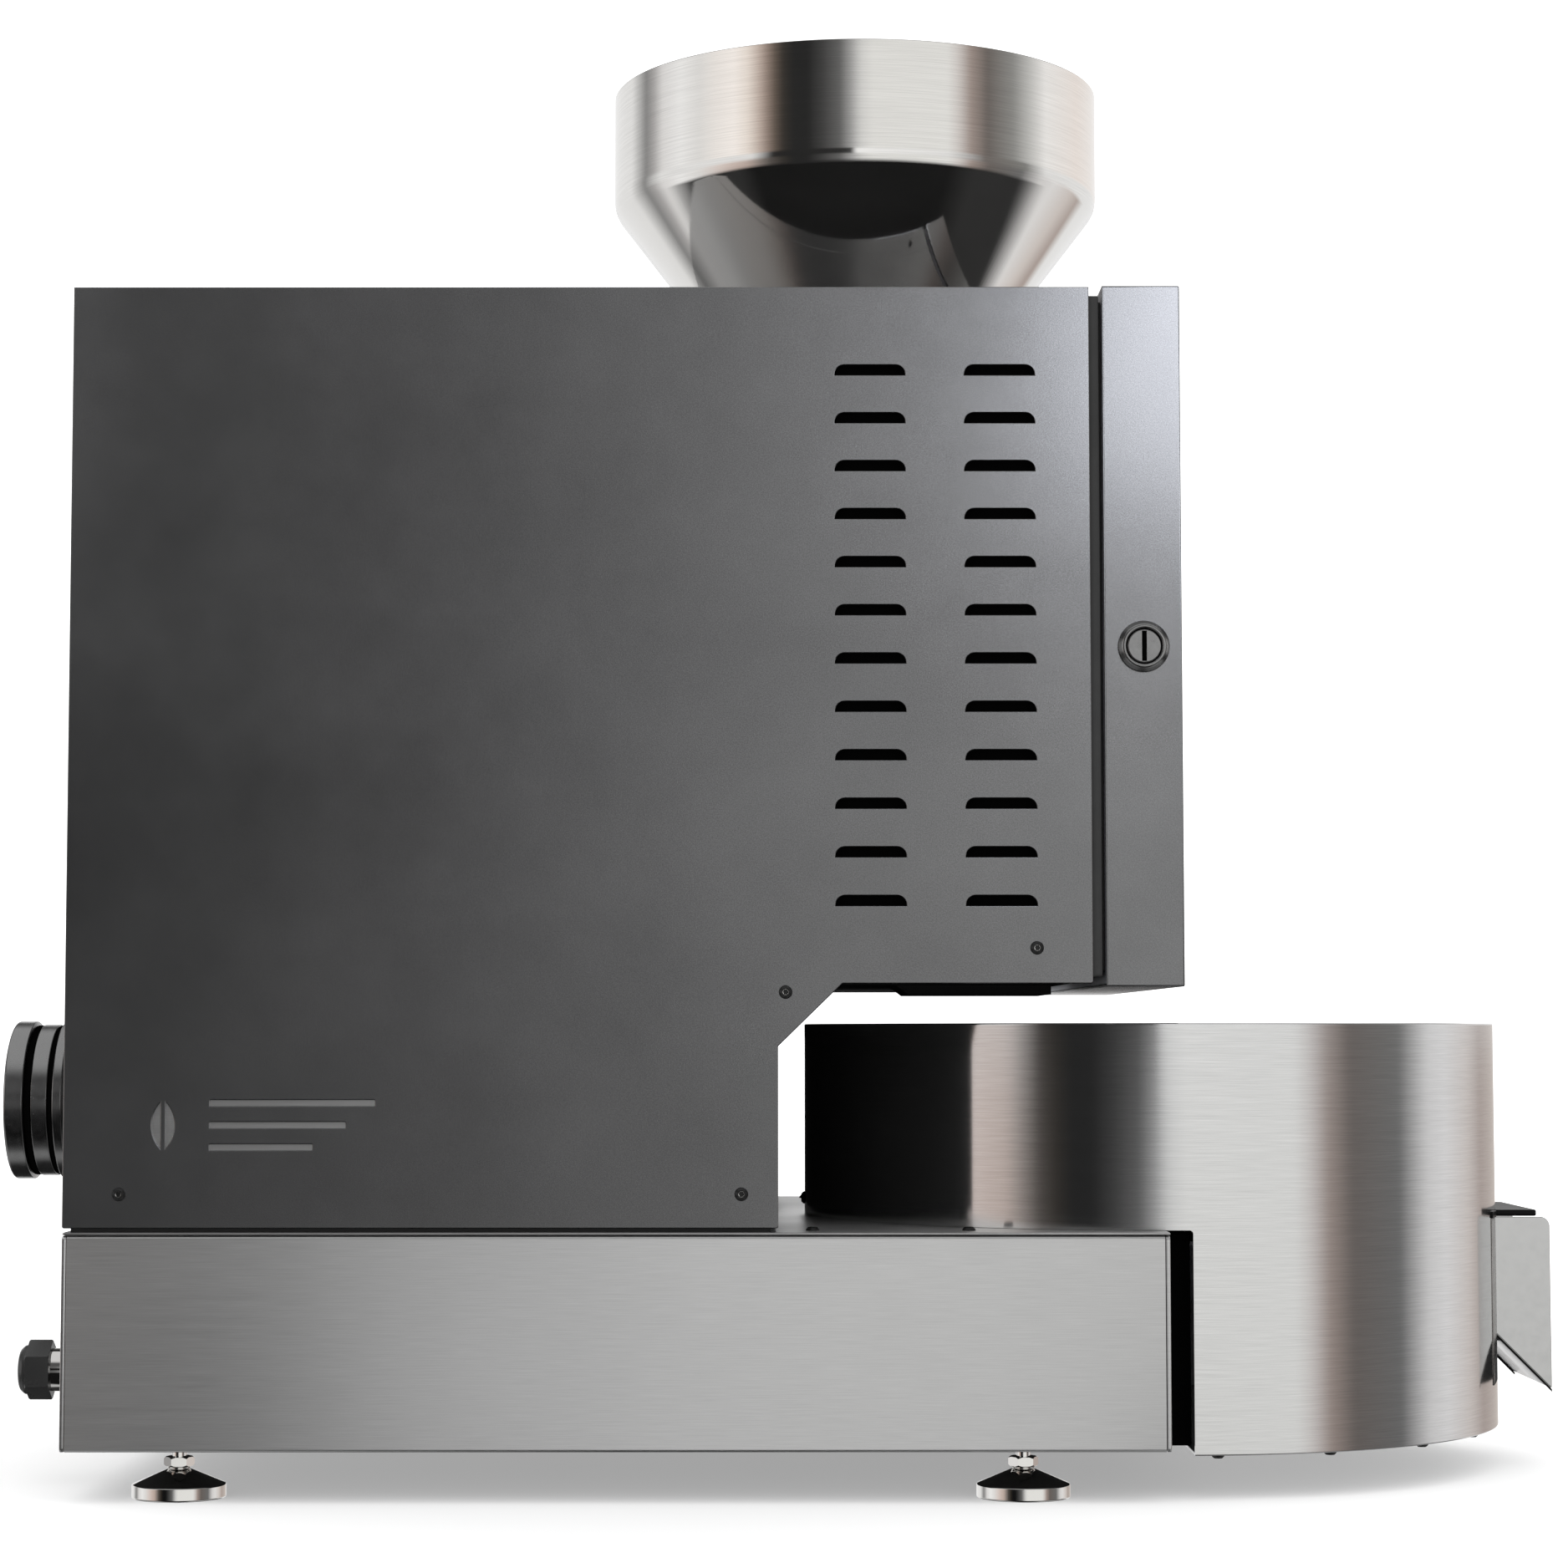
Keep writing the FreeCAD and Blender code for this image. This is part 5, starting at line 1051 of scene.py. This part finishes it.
def screw_place(low, high):
    """Where one screw's head sits and which way it points, from the box of its solid."""
    size = [h - l for l, h in zip(low, high)]
    centre = [(l + h) / 2 for l, h in zip(low, high)]
    axis = size.index(min(size))
    if axis == 1:
        side = LEFT if centre[1] < 0 else RIGHT
        y = low[1] + SCREW_HEAD if side == LEFT else high[1] - SCREW_HEAD
        return moved(centre[0], y, centre[2]) @ along_y(side)
    if axis == 0:
        return moved(low[0] + SCREW_HEAD, centre[1], centre[2]) @ ALONG_BACK
    if centre[2] < UNDER_TRAY:
        return moved(centre[0], centre[1], low[2] + SCREW_HEAD) @ DOWNWARDS
    return moved(centre[0], centre[1], high[2] - SCREW_HEAD)


def screws():
    piece = Piece("button_screw_heads")
    radius, socket, shank = 3.8, 1.75, 1.9
    head = turned(rounded([
        (socket, 0.6), (socket, 2.1, 0.1), (2.4, SCREW_HEAD, 0.5), (radius - 0.2, 1.0, 1.2), (radius, 0.0),
        (shank, 0.0), (shank, -3.4), (0, -3.4), (0, 0.6),
    ], 0.0, 15.0), 40)
    drive = flat([ring(0.0, 0.0, socket, 36), hexagon(2.5)], "xy", 0.5, 1.75, 0.2)
    for low, top in islands("button_screws"):
        place = screw_place(low, top)
        piece.add(head, BLACK_METAL, place)
        piece.add(drive, CHROME, place)
    piece.finish("black_metal", "button_screws")


# ---- finishes of the CAD nodes that stay ----

STAYING = {
    BLACK_METAL: ("hinge_fixed", "hinge_door"),
    UNDERSIDE: ("cabinet_underpan", "discharge_duct", "front_bulkhead", "base_floor", "frame_posts",
                "cooling_fan_housing", "exhaust_fan_housing"),
    RUBBER: ("cabinet_gasket", "drive_belt"),
    WOOL: ("door_insulation", "drum_insulation"),
    BOARD: ("control_board",),
    GLASS: ("sight_glass",),
    PLASTIC: ("cooling_fan_impeller", "exhaust_fan_impeller"),
    DRUM: ("drum_faceplate", "drum_jacket", "drum_shell", "discharge_flap"),
    GALVANISED: ("power_supply", "door_liner", "drum_motor", "agitator_motor"),
    STEEL: ("feed_duct", "hopper_gate", "drum_shaft", "motor_pulley", "drum_bearings", "heater_elements"),
}


def finish_cad_nodes():
    for material, names in STAYING.items():
        for name in names:
            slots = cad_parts[name].data.materials
            slots.clear()
            slots.append(material)


# ---- studio ----

# The studio as the metal sees it, by bearing in degrees: 0 is towards the camera and + is towards the
# spout. Each stop is a bearing and a colour or a grey, with soft steps between the stops.
BLACK, DUSK, DIM, HALF, PALE = 0.008, 0.03, 0.09, 0.5, 0.9
BEHIND = (
    (-180, 0.95), (-134, 0.88), (-127, 0.60), (-119, 0.27), (-112, (0.46, 0.45, 0.45)),
    (-105, (0.83, 0.82, 0.82)), (-92, 0.99), (-80, (0.87, 0.86, 0.85)),
)
MIDDLE = (
    (-35, (0.03, 0.025, 0.02)), (-30, BLACK), (-23, BLACK), (-16, 0.05), (-8, 0.14), (-3, 0.41),
    (2, (0.77, 0.77, 0.76)), (7, (0.89, 0.89, 0.87)), (43, (0.90, 0.90, 0.88)), (48, (0.76, 0.72, 0.70)),
    (55, (0.38, 0.31, 0.28)), (64, (0.16, 0.14, 0.13)),
)
WALLS = (
    *BEHIND, (-68, (0.80, 0.70, 0.66)), (-60, (0.68, 0.56, 0.51)), (-53, (0.58, 0.47, 0.42)),
    (-46, (0.26, 0.22, 0.20)), (-41, (0.09, 0.078, 0.07)),
    *MIDDLE, (84, 0.17), (98, (0.76, 0.75, 0.75)), (108, (0.86, 0.85, 0.85)), (124, (0.72, 0.66, 0.63)),
    (136, (0.48, 0.41, 0.38)), (160, (0.60, 0.54, 0.50)), (180, 0.95),
)
HIGH_WALLS = (
    *BEHIND, (-71, (0.98, 0.94, 0.91)), (-60, (1.09, 1.03, 0.99)), (-53, (0.96, 0.87, 0.80)),
    (-47, (0.62, 0.51, 0.45)), (-43, (0.34, 0.26, 0.22)), (-39, (0.13, 0.10, 0.08)),
    *MIDDLE, (79, (0.30, 0.30, 0.29)), (90, (0.62, 0.62, 0.61)), (101, (0.97, 0.96, 0.95)),
    (129, (0.95, 0.88, 0.84)), (180, 0.95),
)
PANEL = (
    (-180, PALE), (-134, PALE), (-119, 0.27), (-105, PALE), (-50, PALE), (-40, BLACK), (-2.4, BLACK),
    (-0.8, 1.08), (12, 1.0), (43, PALE), (62, (0.18, 0.16, 0.15)), (86, (0.24, 0.24, 0.23)), (100, PALE),
    (180, PALE),
)
OVERHEAD = ((-180, DIM), (-70, DIM), (-50, 0.14), (-20, DIM), (60, DIM), (80, 0.14), (180, DIM))
SKIRTING = (
    (-180, PALE), (-110, PALE), (-98, DUSK), (-60, DUSK), (-50, BLACK), (45, BLACK), (60, DUSK), (112, DUSK),
    (122, PALE), (180, PALE),
)
GROUND = (
    (-180, DUSK), (-150, DUSK), (-120, HALF), (-60, HALF), (-32, BLACK), (32, BLACK), (60, HALF), (120, HALF),
    (150, DUSK), (180, DUSK),
)
CEILING, ROOM = 0.7, 1.7
# Over the ground, each layer fades in between two heights, where 0 is level and 1 is straight up.
LAYERS = (
    (-0.54, -0.46, BLACK), (-0.42, -0.38, SKIRTING), (-0.24, -0.16, WALLS), (-0.01, 0.04, PANEL),
    (0.18, 0.205, HIGH_WALLS), (0.32, 0.42, OVERHEAD), (0.6, 0.76, CEILING),
)


def tint(colour):
    """Red, green, blue and alpha, of a colour or of a grey."""
    return (*(colour if isinstance(colour, tuple) else grey(colour)), 1)


def studio():
    """The surroundings: soft white for the floor and the camera, and the studio itself in reflections."""
    world = bpy.data.worlds.new("studio")
    bpy.context.scene.world = world
    world.use_nodes = True
    tree = world.node_tree
    tree.nodes.clear()

    def give(socket, value):
        if isinstance(value, bpy.types.NodeSocket):
            tree.links.new(value, socket)
        else:
            socket.default_value = value

    def node(kind, operation=None, *values):
        made = tree.nodes.new("ShaderNode" + kind)
        if operation:
            made.operation = operation
        for socket, value in zip(made.inputs, values):
            give(socket, value)
        return made

    def mixed(amount, first, second):
        made = tree.nodes.new("ShaderNodeMix")
        made.data_type = "RGBA"
        give(made.inputs["Factor"], amount)
        for name, value in (("A", first), ("B", second)):
            socket = next(s for s in made.inputs if s.name == name and s.type == "RGBA")
            give(socket, value if isinstance(value, bpy.types.NodeSocket) else tint(value))
        return next(s for s in made.outputs if s.type == "RGBA")

    x, y, z = node("SeparateXYZ", None, node("TexCoord").outputs["Generated"]).outputs
    towards = node("Math", "MULTIPLY", y, -1.0).outputs[0]
    bearing = node("Math", "ARCTAN2", x, towards).outputs[0]
    turn = node("MapRange", None, bearing, -math.pi, math.pi, 0.0, 1.0).outputs[0]

    def around(stops):
        made = node("ValToRGB", None, turn)
        marks = made.color_ramp.elements
        marks[0].color = tint(stops[0][1])
        marks[1].color = tint(stops[-1][1])
        for degrees, colour in stops[1:-1]:
            marks.new((degrees + 180) / 360).color = tint(colour)
        return made.outputs[0]

    whole = around(GROUND)
    for low, high, layer in LAYERS:
        rise = node("MapRange", None, z, low, high, 0.0, 1.0).outputs[0]
        whole = mixed(rise, whole, around(layer) if isinstance(layer, tuple) else layer)
    seen = mixed(node("LightPath").outputs["Is Glossy Ray"], ROOM, whole)
    node("OutputWorld", None, node("Background", None, seen, 1.0).outputs[0])


def stage_item(name, shape, material):
    mesh = as_mesh(shape, name)
    mesh.materials.append(material)
    return placed(name, mesh)


def floor():
    shape = bmesh.new()
    bmesh.ops.create_circle(shape, cap_ends=True, segments=96, radius=1.1)
    shade = Shade("pale_floor", roughness=0.9)
    shade.colour(shade.noise(3, 2), grey(0.59), grey(0.61))
    shade.shader.inputs["Emission Color"].default_value = tint(1.0)
    shade.shader.inputs["Emission Strength"].default_value = 0.35
    item = stage_item("floor", shape, shade.material)
    item.visible_glossy = False


def softbox(name, x0, x1, z0, z1, y, colour, receivers):
    """A lit panel in front of the machine, flagged off from everything but the pieces that it is for."""
    shape = bmesh.new()
    shape.faces.new([shape.verts.new((x, y, z)) for x, z in ((x0, z0), (x0, z1), (x1, z1), (x1, z0))])
    material = bpy.data.materials.new(name)
    material.use_nodes = True
    tree = material.node_tree
    tree.nodes.clear()
    glow = tree.nodes.new("ShaderNodeEmission")
    glow.inputs["Color"].default_value = tint(colour)
    both = tree.nodes.new("ShaderNodeAddShader")
    tree.links.new(glow.outputs[0], both.inputs[0])
    tree.links.new(tree.nodes.new("ShaderNodeBsdfTransparent").outputs[0], both.inputs[1])
    tree.links.new(both.outputs[0], tree.nodes.new("ShaderNodeOutputMaterial").inputs["Surface"])
    item = stage_item(name, shape, material)
    item.visible_camera = item.visible_shadow = item.visible_diffuse = False
    lit = bpy.data.collections.new(name + "_lit")
    for receiver in receivers:
        lit.objects.link(bpy.data.objects[receiver])
    item.light_linking.receiver_collection = lit


COATED = ("cabinet_side_left_skin", "cabinet_side_right_skin", "door_skin")
STEEL_BASE = ("base_side_left_skin", "base_side_right_skin", "base_front_panel_skin")
# Name, left and right x, lowest and highest z, y, colour, and the pieces that mirror it, in metres.
SOFTBOXES = (
    ("softbox_right", 0.26, 0.9, 0.69, 1.4, -1.22, (3.8, 3.94, 4.35), COATED),
    ("softbox_left", -1.4, -0.6, 0.62, 1.4, -1.22, 0.36, COATED),
    ("softbox_far", -9.0, -3.6, -8.0, 4.0, -10.0, 0.17, STEEL_BASE),
    ("softbox_base", -3.6, -1.0, -8.0, 4.0, -10.0, 0.6, STEEL_BASE),
    ("softbox_middle", -1.4, 0.2, -8.0, 4.0, -9.9, 0.2, STEEL_BASE),
    ("softbox_low", -0.6, 6.0, -8.0, -1.9, -10.0, 0.75, STEEL_BASE),
)


def camera():
    lens = bpy.data.cameras.new("camera")
    lens.lens = 83.95
    lens.sensor_width = 36.0
    lens.shift_x = 0.0133
    lens.shift_y = -0.0065
    lens.clip_end = 50.0
    item = placed("camera", lens)
    item.location = (-0.0049, -2.22656, 0.25429)
    item.rotation_euler = (math.pi / 2 + 0.0710, 0.0003, 0.0005)
    bpy.context.scene.camera = item


BUILDERS = (
    base, cabinet_sides, cabinet_sheets, door, door_seal, lock, hopper, spigot, gland,
    tray_skirt, cooling_screen, tray_bottom, chute, agitator, feet, screws,
    finish_cad_nodes, studio, floor,
)
for build in BUILDERS:
    build()
for box in SOFTBOXES:
    softbox(*box)
camera()
bpy.context.scene.view_settings.view_transform = "Standard"
